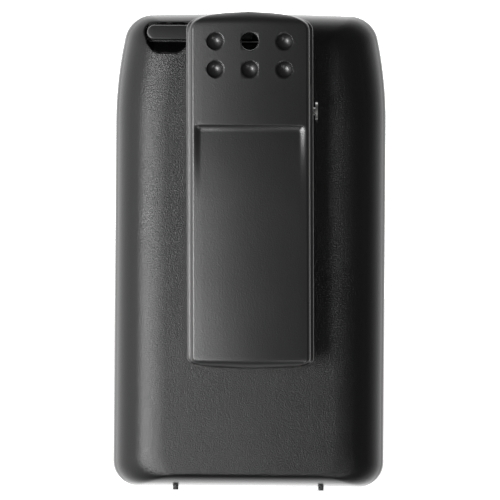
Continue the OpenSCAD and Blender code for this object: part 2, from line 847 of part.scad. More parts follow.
module upper_side_button() {
    color("#1f2022") side_button(upper_button_z, small_len, small_w, 0.35);
}

module lower_side_button() {
    color("#1f2022") side_button(lower_button_z, small_len, small_w, 0.35);
}

module side_switches() {
    color("#c9c9c4") {
        side_switch(ptt_z, side_x + flange_x + ptt_travel + 0.1);
        side_switch(upper_button_z, side_x + flange_x + small_travel + 0.1);
        side_switch(lower_button_z, side_x + flange_x + small_travel + 0.1);
    }
}

module side_switch(z, tip_x) {
    box([tip_x + 0.6, -20], [board_y - 4.2, board_y], [z - 2.6, z + 2.6]);
    rod_x(tip_x, tip_x + 0.6, side_y, z, 1);
}

module jack_block() {
    color("#17181a") difference() {
        box([14.5, case_w / 2 - case_wall + 0.2], [jack_y - 2.8, board_y], [69.6, 87.4]);
        for (i = [0, 1]) {
            rod_x(16.2, 30, jack_y, jack_z[i], jack_r[i]);
            rod_x(15.6, 16.2, jack_y, jack_z[i], jack_r[i] - 0.4);
        }
    }
}

module jack_contacts() {
    color("#caa84a") for (i = [0, 1]) difference() {
        rod_x(15.6, 16.2, jack_y, jack_z[i], jack_r[i] - 0.4);
        rod_x(15, 17, jack_y, jack_z[i], 0.4);
    }
}

module jack_cover() {
    color("#1c1d1f") {
        box([cover_hinge_x - 0.65, case_w / 2], [jack_y - 3.85, jack_y + 3.85],
            [cover_z[0] + 1.2, cover_z[1] - 0.15]);
        rod_y(cover_hinge_x, jack_y - 3.85, jack_y + 3.85, cover_z[0] + 1.2, 0.65);
    }
}

rear_shell();
pack_cover();
battery_cells();
cell_straps();
cell_foam();
thermal_fuse();
pack_terminals();
charge_contacts();
belt_clip();
hinge_pin();
clip_spring();
latch_lever();
latch_pin();
latch_spring();
front_case();
chassis();
case_gasket();
chassis_screws();
main_board();
board_screws();
board_chips();
rf_shield();
radio_terminals();
speaker();
speaker_cone();
grille_mesh();
microphone();
nameplate();
control_board();
volume_control();
channel_switch();
control_shaft(volume_x);  // volume_shaft
knob(volume_x, 18);  // volume_knob
control_shaft(channel_x);  // channel_shaft
knob(channel_x, 16);  // channel_knob
antenna_connector();
antenna_insulator();
emergency_switch();
emergency_button();
status_led();
ptt_button();
upper_side_button();
lower_side_button();
side_switches();
jack_block();
jack_contacts();
jack_cover();
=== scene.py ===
import json
import math

import bmesh
import bpy
import numpy as np
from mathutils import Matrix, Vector


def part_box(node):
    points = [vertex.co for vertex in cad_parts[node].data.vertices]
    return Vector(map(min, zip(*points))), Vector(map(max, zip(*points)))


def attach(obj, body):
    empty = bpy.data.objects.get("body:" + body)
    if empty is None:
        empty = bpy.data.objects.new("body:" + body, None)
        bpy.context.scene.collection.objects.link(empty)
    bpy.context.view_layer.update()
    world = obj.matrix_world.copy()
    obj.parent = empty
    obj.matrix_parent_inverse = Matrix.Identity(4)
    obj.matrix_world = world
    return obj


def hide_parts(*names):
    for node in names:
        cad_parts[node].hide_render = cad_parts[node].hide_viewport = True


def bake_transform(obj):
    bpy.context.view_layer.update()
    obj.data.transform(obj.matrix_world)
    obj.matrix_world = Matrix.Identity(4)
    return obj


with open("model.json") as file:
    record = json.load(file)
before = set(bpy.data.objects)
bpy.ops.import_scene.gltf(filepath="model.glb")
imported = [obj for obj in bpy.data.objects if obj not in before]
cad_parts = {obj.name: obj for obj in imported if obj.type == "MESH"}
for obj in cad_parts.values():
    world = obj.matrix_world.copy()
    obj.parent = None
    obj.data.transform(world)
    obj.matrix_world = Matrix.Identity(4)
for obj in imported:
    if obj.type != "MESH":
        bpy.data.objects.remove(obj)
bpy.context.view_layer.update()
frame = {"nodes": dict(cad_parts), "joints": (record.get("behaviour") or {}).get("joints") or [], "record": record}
MM = 0.001


def box_mm(node):
    """The box of a CAD node, in millimetres."""
    low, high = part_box(node)
    return low / MM, high / MM


# ---- Driving dimensions, in millimetres, from the frame ----

SHELL_LOW, SHELL_HIGH = box_mm("rear_shell")
CASE_LOW, CASE_HIGH = box_mm("front_case")
CLIP_LOW, CLIP_HIGH = box_mm("belt_clip")
COVER_HIGH = box_mm("pack_cover")[1]
LEVER_LOW, LEVER_HIGH = box_mm("latch_lever")
JOINTS = {joint["name"]: joint for joint in frame["joints"]}
PIN_Y, PIN_Z = (value / MM for value in JOINTS["clip_hinge"]["pos_m"][1:])
HUB_X, HUB_Y = (value / MM for value in JOINTS["latch_swing"]["pos_m"][:2])

# Height of the feet, then the planes of the pack, the clip and the latch recess along Y
RAIL = 0.65
PACK_FRONT = COVER_HIGH.y - 1.5
BACK_Y = LEVER_HIGH.y + 1.0
FACE_Y = CLIP_HIGH.y
RECESS_Y = LEVER_HIGH.y - 3.5
PACK_W, PACK_H = SHELL_HIGH.x - SHELL_LOW.x, SHELL_HIGH.z - RAIL
CASE_W, DECK_Z = 58.6, 98.8
WALL = 1.6


# ---- Mesh helpers ----


def new_object(name, vertices, faces):
    """An object from points in millimetres, with its normals turned outwards."""
    mesh = bpy.data.meshes.new(name)
    mesh.from_pydata((np.asarray(vertices, float) * MM).tolist(), [], faces)
    work = bmesh.new()
    work.from_mesh(mesh)
    bmesh.ops.remove_doubles(work, verts=work.verts, dist=1e-7)
    bmesh.ops.recalc_face_normals(work, faces=work.faces)
    work.to_mesh(mesh)
    work.free()
    mesh.shade_smooth()
    piece = bpy.data.objects.new(name, mesh)
    bpy.context.scene.collection.objects.link(piece)
    return piece


def grid_faces(rows, columns):
    """Quads between neighbouring closed rows of points."""
    return [
        (i * columns + j, i * columns + (j + 1) % columns,
         (i + 1) * columns + (j + 1) % columns, (i + 1) * columns + j)
        for i in range(rows - 1) for j in range(columns)
    ]


def loft(name, rings):
    """A closed form through rings of equal length."""
    rings = [np.asarray(ring, float) for ring in rings]
    count = len(rings[0])
    faces = grid_faces(len(rings), count)
    faces.append(tuple(range(count)))
    faces.append(tuple(range((len(rings) - 1) * count, len(rings) * count)))
    return new_object(name, np.concatenate(rings), faces)


def whole_turn(steps):
    return np.linspace(0, 2 * math.pi, steps, endpoint=False)


def arc(a, b, radius, angles):
    """Points round the centre (a, b)."""
    return [(a + radius * math.cos(t), b + radius * math.sin(t)) for t in angles]


def turned(name, profile, centre, axis="Z", sides=64):
    """A profile of (radius, height) points turned about an axis through the centre."""
    angles = whole_turn(sides)
    rings = []
    for radius, height in profile:
        a, b = radius * np.cos(angles), radius * np.sin(angles)
        h = np.full(sides, float(height))
        columns = {"X": (h, a, b), "Y": (b, h, a), "Z": (a, b, h)}[axis]
        rings.append(np.stack(columns, 1) + np.array(centre, float))
    return loft(name, rings)


def ring_at(outline, level, axis):
    """An outline laid across an axis. Its two coordinates are the other two axes, in order."""
    a, b = np.array(outline, float).T
    h = np.full(len(a), float(level))
    return np.stack({"X": (h, a, b), "Y": (a, h, b), "Z": (a, b, h)}[axis], 1)


def prism(name, outline, low, high, axis):
    """An outline pushed along an axis from low to high."""
    piece = loft(name, [ring_at(outline, level, axis) for level in (low, high)])
    piece.data.shade_flat()
    return piece


def block(name, low, high):
    """A box between two corners."""
    outline = [(low[0], low[1]), (high[0], low[1]), (high[0], high[1]), (low[0], high[1])]
    return prism(name, outline, low[2], high[2], "Z")


def stadium(centre_a, centre_b, long_side, short_side, along_b=True, steps=24):
    """Outline with two straight sides and two half rounds."""
    r = short_side / 2
    reach = long_side / 2 - r
    points = []
    for k in range(steps):
        angle = 2 * math.pi * k / steps
        a, b = r * math.cos(angle), r * math.sin(angle)
        if along_b:
            b += reach if math.sin(angle) >= 0 else -reach
        else:
            a += reach if math.cos(angle) >= 0 else -reach
        points.append((centre_a + a, centre_b + b))
    return points


def activate(piece):
    bpy.ops.object.select_all(action="DESELECT")
    piece.select_set(True)
    bpy.context.view_layer.objects.active = piece


def apply_modifiers(piece):
    activate(piece)
    for modifier in list(piece.modifiers):
        bpy.ops.object.modifier_apply(modifier=modifier.name)
    return piece


def cut_out(piece, others):
    """Cuts the others out of the piece and removes them."""
    for other in others:
        modifier = piece.modifiers.new("cut", "BOOLEAN")
        modifier.operation = "DIFFERENCE"
        modifier.solver = "EXACT"
        modifier.object = other
    apply_modifiers(piece)
    for other in others:
        bpy.data.objects.remove(other)
    return piece


def join(piece, others):
    """Adds others to the piece, uncut, each with its own creases."""
    for other in others:
        crease_by_angle(other)
    activate(piece)
    for other in others:
        other.select_set(True)
    bpy.ops.object.join()
    return piece


def round_edges(piece, width, segments=3, angle=30):
    """Rounds the edges that turn by more than the angle."""
    modifier = piece.modifiers.new("round", "BEVEL")
    modifier.width = width * MM
    modifier.segments = segments
    modifier.limit_method = "ANGLE"
    modifier.angle_limit = math.radians(angle)
    return apply_modifiers(piece)


def crease_by_angle(piece, angle=38):
    """Smooth shading, broken where the surface turns by more than the angle."""
    piece.data.shade_smooth()
    piece.data.set_sharp_from_angle(angle=math.radians(angle))
    return piece


def weigh_normals(piece):
    """Lets large faces rule the shading where they meet small roundings."""
    modifier = piece.modifiers.new("normals", "WEIGHTED_NORMAL")
    modifier.keep_sharp = True
    return apply_modifiers(piece)


def place(piece, body, slot, *nodes):
    """The piece rides on a body, takes a slot's finish and stands for CAD nodes."""
    piece.data.materials.clear()
    piece.data.materials.append(MATERIALS[slot])
    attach(piece, body)
    if nodes:
        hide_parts(*nodes)
    return piece


# ---- Materials ----


class Shader:
    """A principled material whose colour, roughness and relief come from nodes."""

    def __init__(self, name, roughness=0.5, metallic=0.0, specular=0.5, coat=0.0):
        self.material = bpy.data.materials.new(name)
        self.material.use_nodes = True
        self.nodes = self.material.node_tree.nodes
        self.links = self.material.node_tree.links
        self.principled = self.nodes["Principled BSDF"]
        self.principled.inputs["Roughness"].default_value = roughness
        self.principled.inputs["Metallic"].default_value = metallic
        self.principled.inputs["Specular IOR Level"].default_value = specular
        self.principled.inputs["Coat Weight"].default_value = coat
        self.place = self.nodes.new("ShaderNodeTexCoord").outputs["Object"]
        self.normal = None

    def node(self, kind, **inputs):
        made = self.nodes.new(kind)
        for name, value in inputs.items():
            self.feed(value, made.inputs[name.replace("_", " ")])
        return made

    def feed(self, value, socket):
        if isinstance(value, bpy.types.NodeSocket):
            self.links.new(value, socket)
        else:
            socket.default_value = value

    def scaled(self, scale):
        """Object coordinates stretched by a scale for each axis."""
        return self.node("ShaderNodeMapping", Vector=self.place, Scale=scale).outputs["Vector"]

    def noise(self, scale, detail=3.0, roughness=0.55, vector=None):
        made = self.node("ShaderNodeTexNoise", Vector=vector or self.place, Scale=scale,
                         Detail=detail, Roughness=roughness)
        return made.outputs["Fac"]

    def cells(self, scale):
        made = self.node("ShaderNodeTexVoronoi", Vector=self.place, Scale=scale)
        return made.outputs["Distance"]

    def stripes(self, scale, direction):
        made = self.node("ShaderNodeTexWave", Vector=self.place, Scale=scale)
        made.bands_direction = direction
        return made.outputs["Fac"]

    def remap(self, value, low, high, to_low, to_high):
        made = self.nodes.new("ShaderNodeMapRange")
        for index, number in enumerate((value, low, high, to_low, to_high)):
            self.feed(number, made.inputs[index])
        return made.outputs["Result"]

    def math(self, operation, a, b=0.0):
        made = self.nodes.new("ShaderNodeMath")
        made.operation = operation
        self.feed(a, made.inputs[0])
        self.feed(b, made.inputs[1])
        return made.outputs["Value"]

    def axis(self, letter, of_normal=False):
        """One part of the place on the object, or of its normal there."""
        source = self.place
        if of_normal:
            turn = self.nodes.new("ShaderNodeVectorTransform")
            turn.vector_type = "NORMAL"
            turn.convert_from, turn.convert_to = "WORLD", "OBJECT"
            self.feed(self.nodes.new("ShaderNodeNewGeometry").outputs["Normal"], turn.inputs["Vector"])
            source = turn.outputs["Vector"]
        return self.node("ShaderNodeSeparateXYZ", Vector=source).outputs[letter]

    def colours(self, factor, *stops):
        """The base colour, from stops of (position, colour)."""
        ramp = self.nodes.new("ShaderNodeValToRGB")
        elements = ramp.color_ramp.elements
        while len(elements) < len(stops):
            elements.new(0.5)
        for element, (position, colour) in zip(elements, stops):
            element.position = position
            element.color = (*colour, 1.0)
        self.feed(factor, ramp.inputs["Fac"])
        self.feed(ramp.outputs["Color"], self.principled.inputs["Base Color"])

    def rough(self, factor, low, high):
        self.feed(self.remap(factor, 0.0, 1.0, low, high), self.principled.inputs["Roughness"])

    def relief(self, height, depth_mm, strength=1.0):
        """Adds a bump of this depth on top of those before it."""
        bump = self.node("ShaderNodeBump", Height=height, Strength=strength, Distance=depth_mm * MM)
        if self.normal:
            self.feed(self.normal, bump.inputs["Normal"])
        self.normal = bump.outputs["Normal"]
        self.feed(self.normal, self.principled.inputs["Normal"])


def shade(colour, factor):
    return tuple(channel * factor for channel in colour)


def moulded(name, colour, roughness, grain_mm=0.3, grain_depth=0.012, specular=0.5):
    """Moulded plastic: fine spark-eroded grain, cloudy gloss and a few pale scuffs."""
    s = Shader(name, roughness, specular=specular)
    cloud = s.noise(35.0, 4.0)
    scuffs = s.noise(1.0, 6.0, 0.7, s.scaled((900.0, 900.0, 140.0)))
    mix = s.math("ADD", s.math("MULTIPLY", cloud, 0.75), s.math("MULTIPLY", scuffs, 0.25))
    s.colours(mix, (0.3, shade(colour, 0.86)), (0.62, colour), (0.8, shade(colour, 1.35)))
    s.rough(mix, roughness - 0.06, roughness + 0.06)
    s.relief(s.cells(1000.0 / grain_mm), grain_depth)
    s.relief(s.noise(1600.0 / grain_mm, 2.0), grain_depth * 0.6)
    return s.material


def metal(name, colour, roughness, brushed=(1.0, 1.0, 1.0), depth=0.004):
    """Metal with fine drawn or ground lines and faint tarnish."""
    s = Shader(name, roughness, metallic=1.0)
    lines = s.noise(900.0, 3.0, 0.6, s.scaled(brushed))
    tarnish = s.noise(140.0, 4.0)
    s.colours(tarnish, (0.3, shade(colour, 0.8)), (0.7, colour))
    s.rough(lines, roughness - 0.06, roughness + 0.1)
    s.relief(lines, depth)
    return s.material


def rear_plastic():
    """The pack's plastic: coarse sparkling grain on the flat rear, which fades round its sides."""
    colour = (0.0058, 0.0058, 0.006)
    s = Shader("shell_plastic", 0.45)
    flat = s.remap(s.axis("Y", of_normal=True), 0.86, 0.99, 0.25, 1.0)
    cloud = s.noise(28.0, 5.0)
    scuffs = s.noise(1.0, 6.0, 0.72, s.scaled((1100.0, 1100.0, 160.0)))
    mix = s.math("ADD", s.math("MULTIPLY", cloud, 0.7), s.math("MULTIPLY", scuffs, 0.3))
    speckle = s.math("MULTIPLY", s.noise(5400.0, 2.0, 0.6), flat)
    tone = s.math("ADD", s.math("MULTIPLY", mix, 0.5), s.math("MULTIPLY", speckle, 0.5))
    s.colours(tone, (0.42, shade(colour, 0.45)), (0.5, shade(colour, 0.8)), (0.62, shade(colour, 3.0)))
    wear = s.remap(mix, 0.3, 0.8, -0.02, 0.025)
    sparkle = s.remap(speckle, 0.35, 0.65, 0.3, 0.41)
    s.feed(s.math("ADD", sparkle, wear), s.principled.inputs["Roughness"])
    s.relief(s.math("MULTIPLY", s.noise(4300.0, 2.0, 0.6), flat), 0.1)
    s.relief(s.cells(4200.0), 0.01, 0.7)
    return s.material


def board_finish():
    """Green solder mask over copper tracks, with tinned spots."""
    s = Shader("board_green", 0.3, coat=0.3)
    across = s.stripes(260.0, "X")
    along = s.stripes(260.0, "Z")
    patch = s.noise(170.0, 1.0)
    tracks = s.math("GREATER_THAN", s.math("MULTIPLY", s.math("MAXIMUM", across, along), patch), 0.47)
    s.colours(tracks, (0.0, (0.012, 0.085, 0.035)), (1.0, (0.03, 0.17, 0.07)))
    s.relief(tracks, 0.03)
    return s.material


def cell_wrap():
    """Shrink film with a paler band and fine wrinkles."""
    s = Shader("cell_wrap", 0.28, coat=0.2)
    band = s.math("GREATER_THAN", s.axis("X"), 0.012)
    s.colours(band, (0.0, (0.03, 0.1, 0.26)), (1.0, (0.5, 0.52, 0.55)))
    s.relief(s.noise(400.0, 3.0, 0.6, s.scaled((0.3, 1.0, 1.0))), 0.05)
    return s.material


def cloth_mesh():
    """Fine woven dust cloth behind the grille."""
    s = Shader("mesh_cloth", 0.85, specular=0.2)
    s.principled.inputs["Sheen Weight"].default_value = 0.3
    weave = s.math("MULTIPLY", s.stripes(650.0, "X"), s.stripes(650.0, "Z"))
    s.colours(weave, (0.1, (0.004, 0.004, 0.004)), (0.8, (0.03, 0.03, 0.032)))
    s.relief(weave, 0.06)
    return s.material


def lens():
    """Diffusing lens of the status lamp."""
    s = Shader("led_lens", 0.25)
    s.principled.inputs["Transmission Weight"].default_value = 0.75
    s.colours(s.noise(700.0), (0.3, (0.75, 0.85, 0.72)), (0.7, (0.85, 0.93, 0.8)))
    s.relief(s.cells(3000.0), 0.02)
    return s.material


BLACK = (0.0058, 0.0058, 0.0061)
# Colour, roughness, grain size and depth, specular
MOULDED = {
    "clip_plastic": (BLACK, 0.37, 0.3, 0.012, 0.75),
    "lever_plastic": (shade(BLACK, 1.5), 0.4, 0.35, 0.004, 0.7),
    "case_plastic": (shade(BLACK, 1.3), 0.5, 0.34, 0.035),
    "knob_plastic": (shade(BLACK, 0.8), 0.38, 0.3, 0.008),
    "button_rubber": (shade(BLACK, 0.9), 0.68, 0.35, 0.02, 0.35),
    "inner_plastic": (shade(BLACK, 1.6), 0.5, 0.4, 0.01),
    "orange_plastic": ((0.72, 0.13, 0.012), 0.32, 0.4, 0.006),
    "chip_black": ((0.012, 0.012, 0.013), 0.55, 0.12, 0.01),
    "foam": ((0.05, 0.05, 0.05), 0.9, 0.5, 0.15, 0.2),
    "gasket_rubber": ((0.2, 0.03, 0.02), 0.6, 0.5, 0.01),
    "fuse": ((0.5, 0.36, 0.14), 0.45, 0.6, 0.01),
    "cone_paper": ((0.02, 0.02, 0.02), 0.85, 0.5, 0.08, 0.2),
    "insulator": ((0.8, 0.79, 0.74), 0.35, 0.5, 0.005),
}
# Colour, roughness, stretch of the lines and their depth
METAL = {
    "basket_steel": ((0.3, 0.3, 0.31), 0.4),
    "steel": ((0.62, 0.62, 0.61), 0.24, (1.0, 0.2, 1.0)),
    "screw_steel": ((0.09, 0.09, 0.09), 0.35),
    "nickel": ((0.6, 0.59, 0.56), 0.3, (1.0, 1.0, 0.2)),
    "contact_gold": ((0.83, 0.6, 0.24), 0.25),
    "connector_brass": ((0.74, 0.56, 0.26), 0.28, (1.0, 1.0, 0.2)),
    "chassis_alloy": ((0.5, 0.51, 0.52), 0.5, (1.0, 1.0, 1.0), 0.02),
    "plate_metal": ((0.34, 0.35, 0.36), 0.35, (0.05, 1.0, 1.0)),
}
MATERIALS = {
    "shell_plastic": rear_plastic(), "board_green": board_finish(), "cell_wrap": cell_wrap(),
    "mesh_cloth": cloth_mesh(), "led_lens": lens(),
}
MATERIALS.update({name: moulded(name, *values) for name, values in MOULDED.items()})
MATERIALS.update({name: metal(name, *values) for name, values in METAL.items()})


# ---- Outlines of the mouldings ----


def side_of(w, h, r_bottom, r_top, taper_length, slope, crown, top_step, fine):
    """Half of a moulding's outline, from the foot's middle to the top's middle, on one side.

    The sides lean in over the last taper_length below the top corners and the top is crowned.
    """
    slope, crown = math.radians(slope), math.radians(crown)
    taper = taper_length * math.tan(slope) / 2
    corner_x = w / 2 - taper - r_top * math.cos(slope)
    end_x = corner_x + r_top * math.sin(crown)
    drop = end_x * math.tan(crown) / 2
    corner_z = h - drop - r_top * math.cos(crown)
    lean_z = corner_z + r_top * math.sin(slope)
    top_steps = max(12, int(r_top * (math.pi / 2 - crown - slope) / top_step))
    points = [(u * (w / 2 - r_bottom), 0.0) for u in np.linspace(0, 1, 10)[:-1]]
    points += arc(w / 2 - r_bottom, r_bottom, r_bottom, np.linspace(-math.pi / 2, 0, 14))
    points += [(w / 2, z) for z in np.linspace(r_bottom, lean_z - taper_length, 16)[1:-1]]
    for u in np.linspace(0, 1, 22)[:-1]:
        points.append((w / 2 - taper * u * u, lean_z - taper_length * (1 - u)))
    points += arc(corner_x, corner_z, r_top, np.linspace(slope, math.pi / 2 - crown, top_steps))
    steps = int(end_x / top_step) if fine else 14
    for u in np.linspace(1, 0, steps + 1)[1:]:
        points.append((end_x * u, h - drop * u * u))
    return points


def outline_of(size, d, left_step=0.8, right_step=0.8, fine=False):
    """A whole outline taken in by d, [x, z], with its own step on each side of the top."""
    w, h, r_bottom, r_top, taper_length, slope, crown = size
    numbers = (w - 2 * d, h - 2 * d, r_bottom - d, r_top - d, taper_length, slope, crown)
    right = side_of(*numbers, right_step, fine)
    left = side_of(*numbers, left_step, False)
    return np.array(right + [(-x, z) for x, z in reversed(left[1:-1])])


# Width, height, foot radius, top radius, length and slope of the lean, crown's slope
PACK = (PACK_W, PACK_H, 5.5, 6.4, 18.5, 11.8, 2.0)
CASE = (CASE_W, DECK_Z - RAIL, 5.0, 4.2, 12.0, 5.0, 0.4)


def squeezed(points, w, h, side, top, bottom):
    """Points of an outline moved inwards by the three insets."""
    x = points[:, 0] * (1 - 2 * side / w)
    z = bottom + points[:, 1] * (1 - (top + bottom) / h)
    return x, z


# ---- Rear shell of the battery pack ----

# Roundings of the rear face seen from behind (side, top, foot), and their depth
SIDE_R, TOP_R, FOOT_R, BACK_R = 11.6, 8.0, 3.5, 9.0
# Slot of the thumb bar, the fingertip well below it and the pocket for the arm
BAR_LOW, BAR_HIGH = 98.6, 102.7
RECESS_LEFT, RECESS_RIGHT = -3.0, 23.4
WELL = ((13.6, 99.5), (13.6, 98.2), (15.4, 96.5), (16.4, 96.1),
        (20.4, 96.1), (21.6, 96.6), (22.8, 98.2), (23.1, 99.5))
POCKET_LOW, POCKET_HIGH = (-4.0, 94.8), (6.5, 98.2)
WELL_FOOT_Z = WELL[3][1]
WELL_RISE = BACK_Y - 0.7 - RECESS_Y
HUB_SIDE_X = 4.4
LIP = 0.4
FACE_CROWN = 0.36
OUTLINE_STEP, FINE_STEP = 0.8, 0.125


def box_distance(x, z, low, high):
    """Signed distance to a rectangle, negative inside it."""
    return np.maximum(np.maximum(low[0] - x, x - high[0]), np.maximum(low[1] - z, z - high[1]))


def well_distance(x, z):
    """Signed distance to the fingertip well, a convex outline."""
    distance = np.full(x.shape, -1e3)
    middle = np.mean(WELL, 0)
    for (ax, az), (bx, bz) in zip(WELL, WELL[1:] + WELL[:1]):
        length = math.hypot(bx - ax, bz - az)
        normal = ((bz - az) / length, (ax - bx) / length)
        if normal[0] * (middle[0] - ax) + normal[1] * (middle[1] - az) > 0:
            normal = (-normal[0], -normal[1])
        distance = np.maximum(distance, normal[0] * (x - ax) + normal[1] * (z - az))
    return distance


def recess_distance(x, z):
    """Signed distance to the thumb bar's recess and the well below it."""
    radius = (BAR_HIGH - BAR_LOW) / 2
    mid_z, end_x = (BAR_HIGH + BAR_LOW) / 2, RECESS_RIGHT - radius
    straight = box_distance(x, z, (RECESS_LEFT, BAR_LOW), (end_x, BAR_HIGH))
    slot = np.where(x > end_x, np.hypot(x - end_x, z - mid_z) - radius, straight)
    return np.minimum(slot, well_distance(x, z))


def sunk(surface, distance, floor, slope=18.0):
    """Height of a surface with a rounded lip, a steep wall and a floor."""
    lip = np.clip(distance, 0, LIP)
    rounded = surface - (LIP - np.sqrt(np.maximum(LIP ** 2 - (LIP - lip) ** 2, 0)))
    wall = np.maximum(surface - LIP + slope * distance, floor)
    return np.where(distance >= 0, rounded, np.minimum(wall, surface))


def recess_floor(x, z):
    """Floor of the recess: deeper round the lever's hub, and rising under the fingertip."""
    ramp = np.clip((BAR_LOW - z) / (BAR_LOW - WELL_FOOT_Z), 0, 1)
    return np.where(x < HUB_SIDE_X, HUB_Y - 1.6, RECESS_Y + WELL_RISE * ramp ** 1.2)


def outer_height(x, z, y):
    """The shell's outer surface along Y, with the recess and the pocket sunk into it."""
    y = sunk(y, recess_distance(x, z), recess_floor(x, z))
    pocket = box_distance(x, z, POCKET_LOW, POCKET_HIGH)
    return np.where(z < BAR_LOW, np.minimum(y, sunk(y, pocket, RECESS_Y + 1.9)), y)


def inner_height(x, z, y):
    """The shell's inner surface along Y, which keeps a wall behind the recess and the pocket."""
    near = recess_distance(x, z) < WALL
    y = np.where(near, np.minimum(y, recess_floor(x, z) - 1.2), y)
    pocket = box_distance(x, z, POCKET_LOW, POCKET_HIGH) < WALL
    return np.where(pocket & (z < BAR_LOW), np.minimum(y, RECESS_Y + 1.3), y)


def crowned(x, y, side):
    """The rear face is slightly arched, and the arch fades out down the sides."""
    u = np.abs(x) / (side - SIDE_R)
    arch = FACE_CROWN * np.where(u < 1, u * u, 2 * u - 1)
    return y - arch * np.clip((y - BACK_Y + BACK_R) / (BACK_R * 0.8), 0, 1)


def shell_insets(fine_step):
    """Rings of (depth fraction, side, top, foot) from the open rim to the rear face's middle."""
    rows = [(u, 0.0, 0.0, 0.0) for u in (0.0, 0.25, 0.5, 0.75)]
    tops = list(TOP_R * (1 - np.cos(np.radians(np.linspace(0, 30, 9)))))
    tops += list(np.arange(tops[-1], TOP_R, fine_step)[1:]) + [TOP_R]
    for top in tops:
        c = 1 - top / TOP_R
        rows.append((1 + math.sqrt(max(1 - c * c, 0)), SIDE_R * (1 - c), top, FOOT_R * (1 - c)))
    extra = list(np.arange(fine_step, 4.7, fine_step)) + [5.5, 7, 9, 11, 13, 15, 17]
    rows += [(2.0, SIDE_R + e, TOP_R + e, FOOT_R + e) for e in extra]
    return rows


def rear_shell_mesh():
    """The shell's inside and outside in one closed form, finest round the latch recess."""
    outer = outline_of(PACK, 0, OUTLINE_STEP, FINE_STEP, True)
    inner = outline_of(PACK, WALL, OUTLINE_STEP, FINE_STEP, True)
    straight = BACK_Y - PACK_FRONT - BACK_R
    count = len(outer)
    inner = inner[np.round(np.linspace(0, len(inner) - 1, count)).astype(int)]
    rings = []
    for depth, side, top, foot in shell_insets(FINE_STEP):
        x, z = squeezed(outer, PACK_W, PACK_H, side, top, foot)
        y = np.full(count, PACK_FRONT + straight * min(depth, 1) + BACK_R * max(depth - 1, 0))
        z = z + RAIL
        if depth > 1.3:
            y = outer_height(x, z, crowned(x, y, PACK_W / 2))
        rings.append(np.stack([x, y, z], 1))
    inside = []
    size_w, size_h = PACK_W - 2 * WALL, PACK_H - 2 * WALL
    for depth, side, top, foot in shell_insets(0.9):
        share = max(depth - 1, 0)
        x, z = squeezed(inner, size_w, size_h, max(side - WALL, 0), max(top - WALL, 0), max(foot - WALL, 0))
        level = PACK_FRONT + straight * min(depth, 1) + (BACK_R - WALL) * share
        z = z + RAIL + WALL
        y = inner_height(x, z, np.full(count, level)) if depth > 1.3 else np.full(count, level)
        inside.append(np.stack([x, y, z], 1))
    return loft("rear_shell", inside[::-1] + rings)


def hinge_lug(x0, x1):
    """A lug with a round head, standing on the rear face."""
    foot, r = BACK_Y - 1.0, 2.3
    outline = [(foot, PIN_Z - r - 0.5), (BACK_Y + 0.4, PIN_Z - r)]
    outline += [(PIN_Y + r * math.sin(a), PIN_Z - r * math.cos(a)) for a in np.linspace(0, math.pi, 25)]
    outline += [(BACK_Y + 0.4, PIN_Z + r), (foot, PIN_Z + r + 0.5)]
    return round_edges(prism("lug", outline, x0, x1, "X"), 0.3)


def guide_rails(body_y0, body_y1):
    """Two narrow feet along Y below the base."""
    feet = []
    for x in (-16.0, 16.0):
        foot = block("rail", (x - 0.6, body_y0, 0.0), (x + 0.6, body_y1, RAIL + 0.9))
        feet.append(round_edges(foot, 0.14))
    return feet


def make_rear_shell():
    """Shell with bores round its charge contacts, notches in its parting edge, lugs and feet."""
    shell = rear_shell_mesh()
    cutters = [turned("hole", [(2.25, -1.0), (2.25, 1.2)], (x, PACK_FRONT + 8.9, RAIL), "Z", 48)
               for x in (-9.0, 9.0)]
    for x in (-30.0, 30.0):
        for z in (12.0, 30.4):
            low, high = (x - 0.5, PACK_FRONT - 0.1, z - 1.6), (x + 0.5, PACK_FRONT + 1.5, z + 1.6)
            cutters.append(block("notch", low, high))
    cut_out(shell, cutters)
    crease_by_angle(shell, 50)
    extras = [hinge_lug(-11.2, -7.0), hinge_lug(7.0, 11.2)]
    extras += guide_rails(PACK_FRONT + 2.9, PACK_FRONT + 13.9)
    join(shell, extras)
    return place(shell, "battery_pack", "shell_plastic", "rear_shell")


# ---- Belt clip ----

CLIP_HALF, CLIP_FACE_X = 13.75, 13.0
CLIP_T, SKIRT, CLIP_CROWN = 2.0, 2.4, 0.85
CLIP_TOP, CLIP_FOOT = CLIP_HIGH.z, CLIP_LOW.z
SHOULDER_R = 1.15
# The step below the thumb plate and the scoop that fades out down the blade
STEP_Z, SCOOP_DEPTH, SCOOP_LENGTH, SCOOP_X = 80.0, 0.65, 17.0, 12.2
STEP_H, SCOOP_EDGE = 1.7, 1.6
TIP_FALL, TIP_LENGTH = 0.15, 20
CLIP_LEAN, CLIP_SHIFT = 0.01, 0.25
DIMPLE_R, DIMPLE_DEPTH = 1.9, 1.3
DIMPLE_SPHERE = (DIMPLE_R ** 2 + DIMPLE_DEPTH ** 2) / (2 * DIMPLE_DEPTH)
DIMPLE_X, DIMPLE_Z, DIMPLE_TOP = 7.55, 6.05, 98.0
DIMPLE_RIM, DIMPLE_CROWN_X = 0.3, 12.8


def ease(u):
    """Rises smoothly from 0 to 1 and stays level outside."""
    u = min(max(u, 0.0), 1.0)
    return u * u * (3 - 2 * u)


def fall(distance, reach, amount):
    """How far a surface has dropped at this distance from its edge."""
    return 0.0 if distance >= reach else amount * ((reach - distance) / reach) ** 2


def clip_level(z):
    """Outer face of the clip on its middle line at height z."""
    y = FACE_Y - fall(CLIP_TOP - z, 2.7, 1.8) - fall(z - CLIP_FOOT, 2.0, 1.6)
    return y - TIP_FALL * ease((CLIP_FOOT + TIP_LENGTH - z) / TIP_LENGTH)


